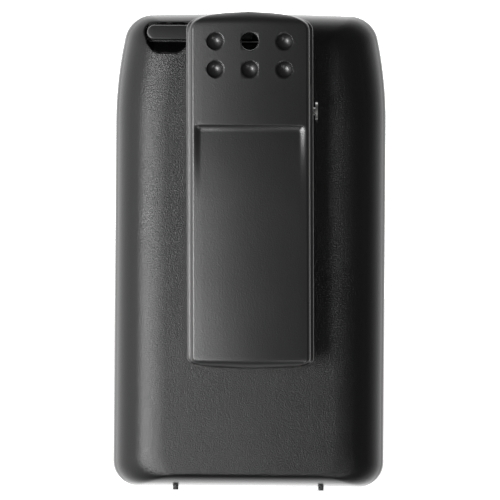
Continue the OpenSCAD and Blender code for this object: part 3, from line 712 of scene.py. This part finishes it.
def scoop(z):
    """Depth of the scoop in the blade's face, from the step down to where it fades out."""
    run = min(max((STEP_Z - z) / SCOOP_LENGTH, 0.0), 1.0)
    wall = min(max((STEP_Z - z) / STEP_H, 0.0), 1.0)
    return SCOOP_DEPTH * (1 - (1 - wall) ** 2) * (1 - run) ** 2


def lean(z):
    """The clip sits a little askew on its pin."""
    return CLIP_LEAN * (z - PIN_Z) + CLIP_SHIFT


def clip_stations():
    """(height, share of the full width), close together at the rounded ends and the step."""
    rows = []
    for a in np.radians(np.linspace(3, 90, 22)):
        rows.append((CLIP_TOP - 4.3 * (1 - math.cos(a) ** 0.8), math.sin(a) ** 0.8))
    rows += [(z, 1.0) for z in np.linspace(CLIP_TOP - 4.6, STEP_Z + 1, 16)]
    rows += [(z, 1.0) for z in np.linspace(STEP_Z + 0.1, STEP_Z - 1.9, 16)]
    rows += [(z, 1.0) for z in np.linspace(STEP_Z - 2.4, CLIP_FOOT + 3, 42)]
    for a in np.radians(np.linspace(90, 3, 18)):
        rows.append((CLIP_FOOT + 2.6 * (1 - math.cos(a) ** 0.625), math.sin(a) ** 0.625))
    return rows


def clip_section(z, share):
    """Closed section at height z: lip, sloping skirt, shoulder, crowned face and hollow."""
    y, low = clip_level(z), clip_level(z) - SKIRT
    half = [(CLIP_HALF - 0.5, low), (CLIP_HALF - 0.12, low + 0.04), (CLIP_HALF, low + 0.18),
            (CLIP_HALF - 0.03, low + 0.38), (CLIP_HALF - 0.2, low + 0.56)]
    half += arc(CLIP_FACE_X - SHOULDER_R * 0.9, y - CLIP_CROWN * 0.92 - SHOULDER_R, SHOULDER_R,
                np.radians((12, 26, 40, 54, 68, 80)))
    dip = scoop(z)
    half += [(x, y - CLIP_CROWN * (x / CLIP_FACE_X) ** 2 - dip * ease((SCOOP_X - x) / SCOOP_EDGE))
             for x in [SCOOP_X - 0.2 * i for i in range(9)] + [10, 8, 6, 4, 2, 0]]
    outer = half + [(-x, level) for x, level in reversed(half[:-1])]
    open_share = ease((CLIP_TOP - 2.6 - z) / 0.8) * ease((z - CLIP_FOOT - 2.8) / 0.8)
    roof = low + max(y - dip - CLIP_T - low, 0.0) * open_share
    under = [(-12.2, low), (-11.75, low + (roof - low) * 0.15),
             (-11.6, low + (roof - low) * 0.85), (-11.2, roof)]
    under += [(x, roof) for x in np.linspace(-10, 10, 11)]
    under += [(-x, level) for x, level in reversed(under[:4])]
    section = np.array(outer + under)
    return np.stack([section[:, 0] * share + lean(z), section[:, 1], np.full(len(section), z)], 1)


def dimple_profile(through):
    """Cutter for a dimple, or for the open hole, with a rounded rim, turned about Y."""
    if through:
        inner = [(0.0, -4.0), (DIMPLE_R, -4.0), (DIMPLE_R, -0.35)]
    else:
        centre = DIMPLE_SPHERE - DIMPLE_DEPTH
        reach = math.asin(DIMPLE_R / DIMPLE_SPHERE)
        inner = [(DIMPLE_SPHERE * math.sin(a), centre - DIMPLE_SPHERE * math.cos(a))
                 for a in np.linspace(0, reach * 0.93, 16)]
    edge = inner[-1][0]
    start = 88 if through else 60
    for a in np.radians(np.linspace(start, 0, 7)):
        inner.append((edge + DIMPLE_RIM * (1 - math.sin(a)), -DIMPLE_RIM * (1 - math.cos(a))))
    widest = inner[-1][0]
    return [(max(r, 0.001), h) for r, h in inner] + [(widest, 1.5), (0.001, 1.5)]


def crown_at(x):
    """Drop of the crowned face at distance x from its middle line."""
    return CLIP_CROWN * (x / DIMPLE_CROWN_X) ** 2


def clip_ear(side):
    """Ear with a round head and the pin's bore, on the left (-1) or the right (1)."""
    x0, x1 = (11.4, 13.0) if side > 0 else (-13.0, -11.4)
    r = 2.7
    outline = [(PIN_Y - r * math.sin(a), PIN_Z + r * math.cos(a)) for a in np.linspace(0, math.pi, 25)]
    outline += [(FACE_Y - 2.4, PIN_Z - 6), (FACE_Y - 1.6, PIN_Z - 2.2), (FACE_Y - 1.6, PIN_Z + 6)]
    ear = round_edges(prism("ear", outline, x0, x1, "X"), 0.2)
    hole = turned("bore", [(1.06, x0 - 1), (1.06, x1 + 1)], (0, PIN_Y, PIN_Z), "X", 40)
    return cut_out(ear, [hole])


def clip_heel():
    """Pad behind the blade's tip that presses on the pack."""
    z = CLIP_FOOT
    tip = clip_level(z + 2.5) - 0.8
    outline = [(BACK_Y + 0.25, z + 1.3), (BACK_Y + 0.25, z + 2.4), (tip, z + 4.6), (tip, z + 1.3)]
    return round_edges(prism("heel", outline, -11.0, 11.0, "X"), 0.35)


def make_belt_clip():
    """Clip with five thumb dimples and one open hole."""
    clip = loft("belt_clip", [clip_section(z, share) for z, share in clip_stations()])
    cutters = []
    for i in (-1, 0, 1):
        for j in (0, 1):
            x, z = i * DIMPLE_X, DIMPLE_TOP - j * DIMPLE_Z
            centre = (x + lean(z), FACE_Y - crown_at(x), z)
            cutters.append(turned("dimple", dimple_profile(i == 0 and j == 0), centre, "Y", 56))
    cut_out(clip, cutters)
    crease_by_angle(clip, 46)
    weigh_normals(clip)
    extras = [clip_ear(-1), clip_ear(1), clip_heel()]
    join(clip, extras)
    return place(clip, "clip", "clip_plastic", "belt_clip")


# ---- Springs and latch ----


def sweep(name, path, radius, reference, sides=12):
    """Round wire along a path."""
    path = np.array(path, float)
    tangents = np.gradient(path, axis=0)
    rings = []
    for point, tangent in zip(path, tangents):
        t = Vector(tangent).normalized()
        u = t.cross(Vector(reference)).normalized()
        v = t.cross(u)
        rings.append([point + radius * np.array(u * math.cos(a) + v * math.sin(a))
                      for a in whole_turn(sides)])
    return loft(name, rings)


def make_clip_spring():
    """Torsion spring: coils round the hinge pin between its two legs."""
    turns, pitch, coil_r, leg, steps = 7, 0.9, 1.75, 8.5, 32
    reach = coil_r + 2.1
    path = [(-turns * pitch / 2, PIN_Y - coil_r - (reach - coil_r) * u, PIN_Z + leg * u)
            for u in np.linspace(1, 0.06, 10)]
    for i in range(steps * turns + steps // 2 + 1):
        a = math.radians(-90 - 360 * i / steps)
        path.append((pitch * (i / steps - turns / 2),
                     PIN_Y + coil_r * math.sin(a), PIN_Z - coil_r * math.cos(a)))
    path += [(pitch * (turns / 2 + 0.5), PIN_Y + coil_r + 0.85 * u, PIN_Z + leg * u)
             for u in np.linspace(0.06, 1, 10)]
    spring = sweep("clip_spring", path, 0.28, (1, 0, 0))
    spring.data.materials.append(MATERIALS["steel"])
    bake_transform(spring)
    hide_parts("clip_spring")
    return spring


def make_latch_spring():
    """Three coils round the latch's pin."""
    low, high = box_mm("latch_spring")
    turns, radius, wire = 3, 1.25, 0.22
    path = [(HUB_X + radius * math.cos(a), HUB_Y + radius * math.sin(a),
             low.z + wire + (high.z - low.z - 2 * wire) * a / (2 * math.pi * turns))
            for a in np.linspace(0, 2 * math.pi * turns, 28 * turns)]
    spring = sweep("latch_spring", path, wire, (0, 0, 1))
    return place(spring, "battery_pack", "steel", "latch_spring")


def make_latch_lever():
    """Thumb bar with a round free end and a leaning face, on a hub with an arm."""
    z0, z1 = BAR_LOW + 0.35, LEVER_HIGH.z
    r = (z1 - z0) / 2
    end_x = LEVER_HIGH.x - r
    outline = [(-0.2, z1), (-0.2, z0)]
    outline += [(end_x + r * math.sin(a), z0 + r - r * math.cos(a)) for a in np.linspace(0, math.pi, 25)]
    rings = []
    for front in (False, True):
        rings.append([(x, LEVER_HIGH.y - 0.3 * (z - z0) / (z1 - z0) if front else RECESS_Y + 0.25, z)
                      for x, z in outline])
    bar = loft("latch_lever", rings)
    round_edges(bar, 0.34, 5, 35)
    hub = round_edges(turned("hub", [(1.7, LEVER_LOW.z), (1.7, z1)], (HUB_X, HUB_Y, 0)), 0.2)
    arm = block("arm", (HUB_X - 1.1, LEVER_LOW.y, LEVER_LOW.z), (HUB_X + 1.1, HUB_Y, LEVER_LOW.z + 1.6))
    round_edges(arm, 0.25)
    crease_by_angle(bar)
    join(bar, [hub, arm])
    return place(bar, "latch", "lever_plastic", "latch_lever")


# ---- Front case ----

SPEAKER_Z, SLOT_H, SLOT_PITCH, SLOT_FIELD = 38.0, 1.7, 3.6, 16.0
CASE_WALL = 1.8
KEY_FLANGE, KEY_GAP = 1.4, 0.4
CASE_REAR, FRONT_Y = CASE_HIGH.y, CASE_LOW.y


def case_rings(d):
    """Rings of the case from its open rear rim to the middle of its front face."""
    points = outline_of(CASE, d)
    w, h = CASE_W - 2 * d, DECK_Z - RAIL - 2 * d
    round_y, side, edge = 6 - d, 6 - d, 3 - d / 2
    depth = CASE_REAR - FRONT_Y - d
    rings = []
    for u in (0.0, 0.3, 0.6, 0.85):
        x, z = squeezed(points, w, h, 0, 0, 0)
        rings.append((x, CASE_REAR - u * (depth - round_y), z))
    for a in np.radians(np.linspace(0, 90, 22)):
        c, s = 1 - math.cos(a), math.sin(a)
        x, z = squeezed(points, w, h, side * c, edge * c, edge * c)
        rings.append((x, CASE_REAR - depth + round_y * (1 - s), z))
    return [np.stack([x, np.full(len(x), float(y)), z + RAIL + d], 1) for x, y, z in rings]


def flared(name, outline, face, depth, flare=0.3, axis="Y", outward=-1):
    """Cutter with a rounded mouth: the outline grows by the flare as it meets the face."""
    points = np.array(outline, float)
    tangent = np.roll(points, -1, 0) - np.roll(points, 1, 0)
    normals = np.stack([tangent[:, 1], -tangent[:, 0]], 1)
    normals /= np.linalg.norm(normals, axis=1)[:, None]
    normals *= np.sign((normals * (points - points.mean(0))).sum(1))[:, None]
    rows = [(-depth, 0.0)]
    for a in np.linspace(0, math.pi / 2, 4):
        rows.append((-flare * (1 - math.sin(a)), flare * (1 - math.cos(a))))
    rows.append((1.0, flare))
    return loft(name, [ring_at(points + normals * grow, face + outward * level, axis)
                       for level, grow in rows])


def grille_cutters():
    """Nine slots whose ends lie on a circle round the speaker's middle."""
    cutters = []
    for i in range(-4, 5):
        z = SPEAKER_Z + i * SLOT_PITCH
        half = math.sqrt(SLOT_FIELD ** 2 - (i * SLOT_PITCH) ** 2)
        outline = stadium(0, z, 2 * half, SLOT_H, along_b=False)
        cutters.append(flared("slot", outline, FRONT_Y, 2.4))
    return cutters


def round_outline(a, b, radius, steps=40):
    return arc(a, b, radius, whole_turn(steps))


def rounded_rectangle(low, high, radius, steps=6):
    points = []
    corners = [(high[0], high[1], 0), (low[0], high[1], 90), (low[0], low[1], 180), (high[0], low[1], 270)]
    for x, z, start in corners:
        cx = x - radius if x == high[0] else x + radius
        cz = z - radius if z == high[1] else z + radius
        points += arc(cx, cz, radius, np.radians(np.linspace(start, start + 90, steps)))
    return points


def node_middle(node):
    low, high = box_mm(node)
    return (low + high) / 2


def make_front_case():
    """Case with its grille, plate recess, ports, key holes, jack window and deck holes."""
    outer, inner = case_rings(0), case_rings(CASE_WALL)
    inner[0][:, 1] = CASE_REAR
    case = loft("front_case", inner[::-1] + outer)
    cutters = grille_cutters()
    plate = rounded_rectangle((-15, 84.5), (15, 91.5), 0.5)
    cutters.append(flared("plate_recess", plate, FRONT_Y, 0.7, 0.2))
    cutters.append(flared("microphone_port", round_outline(-17, 66, 0.7, 24), FRONT_Y, 2.6, 0.25))
    for node in ("ptt_button", "upper_side_button", "lower_side_button"):
        middle, (low, high) = node_middle(node), box_mm(node)
        long_side = high.z - low.z - KEY_FLANGE + KEY_GAP
        short_side = high.y - low.y - KEY_FLANGE + KEY_GAP
        outline = stadium(middle.y, middle.z, long_side, short_side, steps=40)
        cutters.append(flared("side_hole", outline, -CASE_W / 2, 3.0, 0.25, axis="X"))
    cover_low, cover_high = box_mm("jack_cover")
    recess = rounded_rectangle((cover_low.y - 0.15, 67.6), (cover_high.y + 0.15, 89.0), 0.5)
    cutters.append(flared("jack_recess", recess, CASE_W / 2, 1.5, 0.2, axis="X", outward=1))
    jacks_low, jacks_high = box_mm("jack_block")
    window = [(jacks_low.y - 0.2, jacks_low.z - 0.2), (jacks_high.y, jacks_low.z - 0.2),
              (jacks_high.y, jacks_high.z + 0.2), (jacks_low.y - 0.2, jacks_high.z + 0.2)]
    cutters.append(prism("jack_window", window, 26, 31, "X"))
    for node, radius in (("volume_knob", 3), ("channel_knob", 3), ("emergency_button", 3.5),
                         ("antenna_connector", 3.675), ("status_led", 1.2)):
        middle = node_middle(node)
        hole = round_outline(middle.x, middle.y, radius)
        cutters.append(flared("top_hole", hole, DECK_Z - 0.05, 3.0, 0.15, axis="Z", outward=1))
    cut_out(case, cutters)
    crease_by_angle(case, 40)
    weigh_normals(case)
    extras = guide_rails(FRONT_Y + 4, CASE_REAR - 1.9)
    button = node_middle("emergency_button")
    ring = [(4.0, -0.8), (5.4, -0.8), (5.05, 0.2), (4.95, 0.9),
            (4.75, 1.15), (4.5, 1.2), (4.2, 1.13), (4.0, 0.85)]
    extras.append(torus_ring("guard", ring, (button.x, button.y, DECK_Z)))
    join(case, extras)
    return place(case, "radio", "case_plastic", "front_case")


def torus_ring(name, profile, centre, sides=72):
    """A closed profile turned about an upright axis."""
    count = len(profile)
    points, faces = [], []
    for k in range(sides):
        a = 2 * math.pi * k / sides
        points += [(centre[0] + r * math.cos(a), centre[1] + r * math.sin(a), centre[2] + h)
                   for r, h in profile]
    for k in range(sides):
        for j in range(count):
            n, m = (k + 1) % sides, (j + 1) % count
            faces.append((k * count + j, n * count + j, n * count + m, k * count + m))
    return new_object(name, points, faces)


# ---- Controls ----


def make_knob(node, body, ribs):
    """Knob with a fluted side, a dished top and a raised pointer."""
    low, high = box_mm(node)
    centre, radius, height = (low + high) / 2, (high.x - low.x) / 2, high.z - low.z
    sides = ribs * 12
    angles = whole_turn(sides)
    profile = [(0.0, 0.0, 0), (0.8, 0.0, 0), (0.97, 0.06, 0), (1.0, 0.3, 0.2), (0.995, 0.5, 1.0)]
    profile += [(0.99 - 0.02 * u, 0.5 + (height - 1.3) * u, 1.0) for u in np.linspace(0, 1, 5)[1:]]
    profile += [(0.965, height - 0.55, 0.5), (0.95, height - 0.3, 0.15), (0.9, height - 0.08, 0),
                (0.83, height, 0), (0.78, height - 0.08, 0), (0.7, height - 0.35, 0),
                (0.4, height - 0.5, 0), (0.0, height - 0.52, 0)]
    rings = []
    for share, level, flute in profile:
        wave = 0.5 - 0.5 * np.cos(angles * ribs)
        r = np.maximum(share * radius - 0.42 * flute * wave ** 0.7, 0.002)
        rings.append(np.stack([centre.x + r * np.cos(angles), centre.y + r * np.sin(angles),
                               np.full(sides, low.z + level)], 1))
    knob = loft(node, rings)
    crease_by_angle(knob, 60)
    mark = block("pointer", (centre.x - 0.35, centre.y + 1.2, high.z - 0.7),
                 (centre.x + 0.35, centre.y + radius * 0.76, high.z - 0.12))
    join(knob, [round_edges(mark, 0.12)])
    return place(knob, body, "knob_plastic", node)


def make_side_button(node, body, ribs):
    """Rubber key: a soft pillow with raised ribs across it and a flange inside the case."""
    low, high = box_mm(node)
    centre = (low + high) / 2
    long_side, short_side = high.z - low.z - KEY_FLANGE, high.y - low.y - KEY_FLANGE
    rings = []
    for level, inset in ((high.x - 0.8, 0), (low.x + 0.5, 0), (low.x + 0.28, 0.06), (low.x + 0.12, 0.25),
                         (low.x + 0.04, 0.6), (low.x + 0.06, 1.1), (low.x + 0.12, 1.8)):
        outline = stadium(centre.y, centre.z, long_side - 2 * inset, short_side - 2 * inset, steps=48)
        rings.append(ring_at(outline, level, "X"))
    key = loft(node, rings)
    rim = stadium(centre.y, centre.z, long_side + KEY_FLANGE, short_side + KEY_FLANGE, steps=48)
    parts = [prism("flange", rim, high.x - 0.8, high.x, "X")]
    for k in range(ribs):
        z = centre.z + (k - (ribs - 1) / 2) * 1.6
        rib = block("rib", (low.x, centre.y - short_side * 0.3, z - 0.3),
                    (low.x + 0.5, centre.y + short_side * 0.3, z + 0.3))
        parts.append(round_edges(rib, 0.14))
    crease_by_angle(key)
    join(key, parts)
    return place(key, body, "button_rubber", node)


def make_emergency_button():
    """Orange button with a dished top and a flange below the deck."""
    low, high = box_mm("emergency_button")
    c, height = (low + high) / 2, high.z - low.z
    profile = [(0.001, 0), (3.9, 0), (3.9, 0.8), (3.3, 0.85), (3.3, height - 0.6),
               (3.22, height - 0.3), (3.0, height - 0.08), (2.7, height),
               (2.2, height - 0.08), (1.2, height - 0.28), (0.001, height - 0.34)]
    button = crease_by_angle(turned("emergency_button", profile, (c.x, c.y, low.z)), 50)
    return place(button, "emergency", "orange_plastic", "emergency_button")


def make_antenna_connector():
    """Threaded stud on a plain shoulder, with a bore for its insulator."""
    low, high = box_mm("antenna_connector")
    c = (low + high) / 2
    radius, bore, shoulder = 3.175, 2.1, DECK_Z - low.z
    top = high.z - low.z
    pitch, root = 0.7, radius - 0.28
    profile = [(bore, 1.6), (0.001, 1.6), (0.001, 0), (3.675, 0), (3.675, shoulder), (root, shoulder)]
    level = shoulder + pitch / 2
    while level + pitch < top - 0.25:
        profile += [(root, level), (radius, level + pitch * 0.42), (radius, level + pitch * 0.55)]
        level += pitch
    profile += [(root, level), (radius - 0.3, top - 0.15), (radius - 0.42, top), (bore + 0.15, top),
                (bore, top - 0.15)]
    connector = torus_ring("antenna_connector", profile, (c.x, c.y, low.z))
    crease_by_angle(connector, 30)
    return place(connector, "radio", "connector_brass", "antenna_connector")


def make_jack_cover():
    """Rubber flap with a raised field and a thumb nib, hinged at its foot."""
    low, high = box_mm("jack_cover")
    outline = rounded_rectangle((low.y, low.z + 0.05), (high.y, high.z), 0.5)
    flap = round_edges(prism("jack_cover", outline, low.x, high.x - 0.35, "X"), 0.16)
    field = rounded_rectangle((low.y + 0.9, low.z + 2.0), (high.y - 0.9, high.z - 1.1), 0.7)
    parts = [round_edges(prism("field", field, high.x - 0.7, high.x - 0.08, "X"), 0.22)]
    for k in range(3):
        z = high.z - 2.6 - 0.9 * k
        rib = block("rib", (high.x - 0.4, low.y + 2.0, z - 0.2), (high.x, high.y - 2.0, z + 0.2))
        parts.append(round_edges(rib, 0.1))
    crease_by_angle(flap)
    join(flap, parts)
    return place(flap, "jack_door", "button_rubber", "jack_cover")


# ---- Pieces that stay as the CAD made them ----


def finish_cad_nodes():
    """Gives every shown CAD node its slot's material, and the listed ones a small edge rounding."""
    slots = {row["node"]: row["material_slot"] for row in frame["record"]["subparts"]}
    rounded = {
        "hinge_pin": 0.16, "pack_cover": 0.15, "chassis": 0.12, "nameplate": 0.08, "jack_block": 0.1,
        "pack_terminals": 0.12, "charge_contacts": 0.12, "battery_cells": 0.25,
        "chassis_screws": 0.08, "status_led": 0.2, "main_board": 0.05, "board_chips": 0.06,
        "rf_shield": 0.08, "speaker": 0.08, "microphone": 0.1, "latch_pin": 0.06,
    }
    for name, piece in frame["nodes"].items():
        if piece.hide_render:
            continue
        piece.data.materials.clear()
        piece.data.materials.append(MATERIALS[slots[name]])
        if name in rounded:
            bevel = piece.modifiers.new("edge", "BEVEL")
            bevel.width = rounded[name] * MM
            bevel.segments = 3
            bevel.limit_method = "ANGLE"
            bevel.angle_limit = math.radians(40)
            piece.modifiers.new("normals", "WEIGHTED_NORMAL")


# ---- Stage, light and camera ----

# Strengths of the surroundings: everywhere, more of it behind the radio and on its left
AMBIENT, BEHIND, LEFT, SEEN = 0.085, 3.0, 1.2, 2.0
# Tall soft light, turned left from the camera's line, and a small weak one low on the right
KEY_TURN, KEY_DISTANCE, KEY_Z = math.radians(31.0), 0.72, -0.055
KEY_SIZE, KEY_POWER = (0.14, 0.42), 5.9
FILL_PLACE, FILL_SIZE, FILL_POWER = (-0.25, 0.55, -0.35), (0.12, 0.12), 0.6
LIGHT_AIM = (0, 0, 0.02)
LENS, SENSOR, DISTANCE = 244.0, 36.0, 0.742
AIM_Z, ROLL = 0.0529, -0.42
FLOOR_R, FLOOR_Z = 3000.0, -0.02


def make_stage():
    """Pale floor that stays out of the object's own reflections."""
    s = Shader("floor", 0.9, specular=0.1)
    s.colours(s.noise(3.0), (0.3, (0.86, 0.86, 0.86)), (0.7, (0.88, 0.88, 0.88)))
    s.principled.inputs["Emission Color"].default_value = (1, 1, 1, 1)
    s.principled.inputs["Emission Strength"].default_value = 0.9
    profile = [(0.001, 0.0), (FLOOR_R * 0.4, 0.0), (FLOOR_R, 0.0)]
    floor = turned("floor", profile, (0, 0, FLOOR_Z), "Z", 96)
    floor.data.materials.append(s.material)
    floor.visible_glossy = False
    floor.visible_diffuse = False
    floor.visible_shadow = False


def make_world():
    """White surroundings for the eye, dimmer as a light source."""
    world = bpy.data.worlds.new("studio")
    world.use_nodes = True
    bpy.context.scene.world = world
    nodes, links = world.node_tree.nodes, world.node_tree.links

    def ramp(source, low, high, to_low, to_high):
        made = nodes.new("ShaderNodeMapRange")
        made.interpolation_type = "SMOOTHSTEP"
        for index, value in enumerate((0.0, low, high, to_low, to_high)):
            made.inputs[index].default_value = value
        links.new(source, made.inputs[0])
        return made.outputs["Result"]

    def summed(a, b):
        made = nodes.new("ShaderNodeMath")
        links.new(a, made.inputs[0])
        links.new(b, made.inputs[1])
        return made.outputs["Value"]

    direction = nodes.new("ShaderNodeSeparateXYZ")
    links.new(nodes.new("ShaderNodeTexCoord").outputs["Generated"], direction.inputs["Vector"])
    behind = ramp(direction.outputs["Y"], 0.3, -0.85, AMBIENT, AMBIENT + BEHIND)
    left = ramp(direction.outputs["X"], 0.3, 1.0, 0.0, LEFT)
    seen = ramp(nodes.new("ShaderNodeLightPath").outputs["Is Camera Ray"], 0.0, 1.0, 0.0, SEEN)
    background = nodes["Background"]
    background.inputs["Color"].default_value = (1, 1, 1, 1)
    links.new(summed(summed(behind, left), seen), background.inputs["Strength"])


def make_light(name, place_m, aim_m, size, power):
    """A soft rectangular light turned towards its aim."""
    data = bpy.data.lights.new(name, "AREA")
    data.shape = "RECTANGLE"
    data.size, data.size_y = size
    data.energy = power
    light = bpy.data.objects.new(name, data)
    light.location = place_m
    light.rotation_euler = (Vector(aim_m) - Vector(place_m)).to_track_quat("-Z", "Z").to_euler()
    bpy.context.scene.collection.objects.link(light)


def make_camera():
    """Camera square to the rear face, rolled a little as in the view it repeats."""
    data = bpy.data.cameras.new("camera")
    data.lens, data.sensor_width = LENS, SENSOR
    data.clip_start, data.clip_end = 0.01, 100
    camera = bpy.data.objects.new("camera", data)
    camera.location = (0, DISTANCE + BACK_Y * MM, AIM_Z)
    camera.rotation_euler = (math.radians(90), math.radians(ROLL), math.radians(180))
    bpy.context.scene.collection.objects.link(camera)
    bpy.context.scene.camera = camera


make_stage()
make_world()
make_camera()
make_light("key", (KEY_DISTANCE * math.sin(KEY_TURN), KEY_DISTANCE * math.cos(KEY_TURN), KEY_Z),
           LIGHT_AIM, KEY_SIZE, KEY_POWER)
make_light("fill", FILL_PLACE, LIGHT_AIM, FILL_SIZE, FILL_POWER)
bpy.context.scene.view_settings.view_transform = "Standard"

make_rear_shell()
make_belt_clip()
make_clip_spring()
make_latch_spring()
make_latch_lever()
make_front_case()
make_knob("volume_knob", "volume", 18)
make_knob("channel_knob", "channel", 16)
make_side_button("ptt_button", "ptt", 7)
make_side_button("upper_side_button", "side_upper", 2)
make_side_button("lower_side_button", "side_lower", 1)
make_emergency_button()
make_antenna_connector()
make_jack_cover()
finish_cad_nodes()
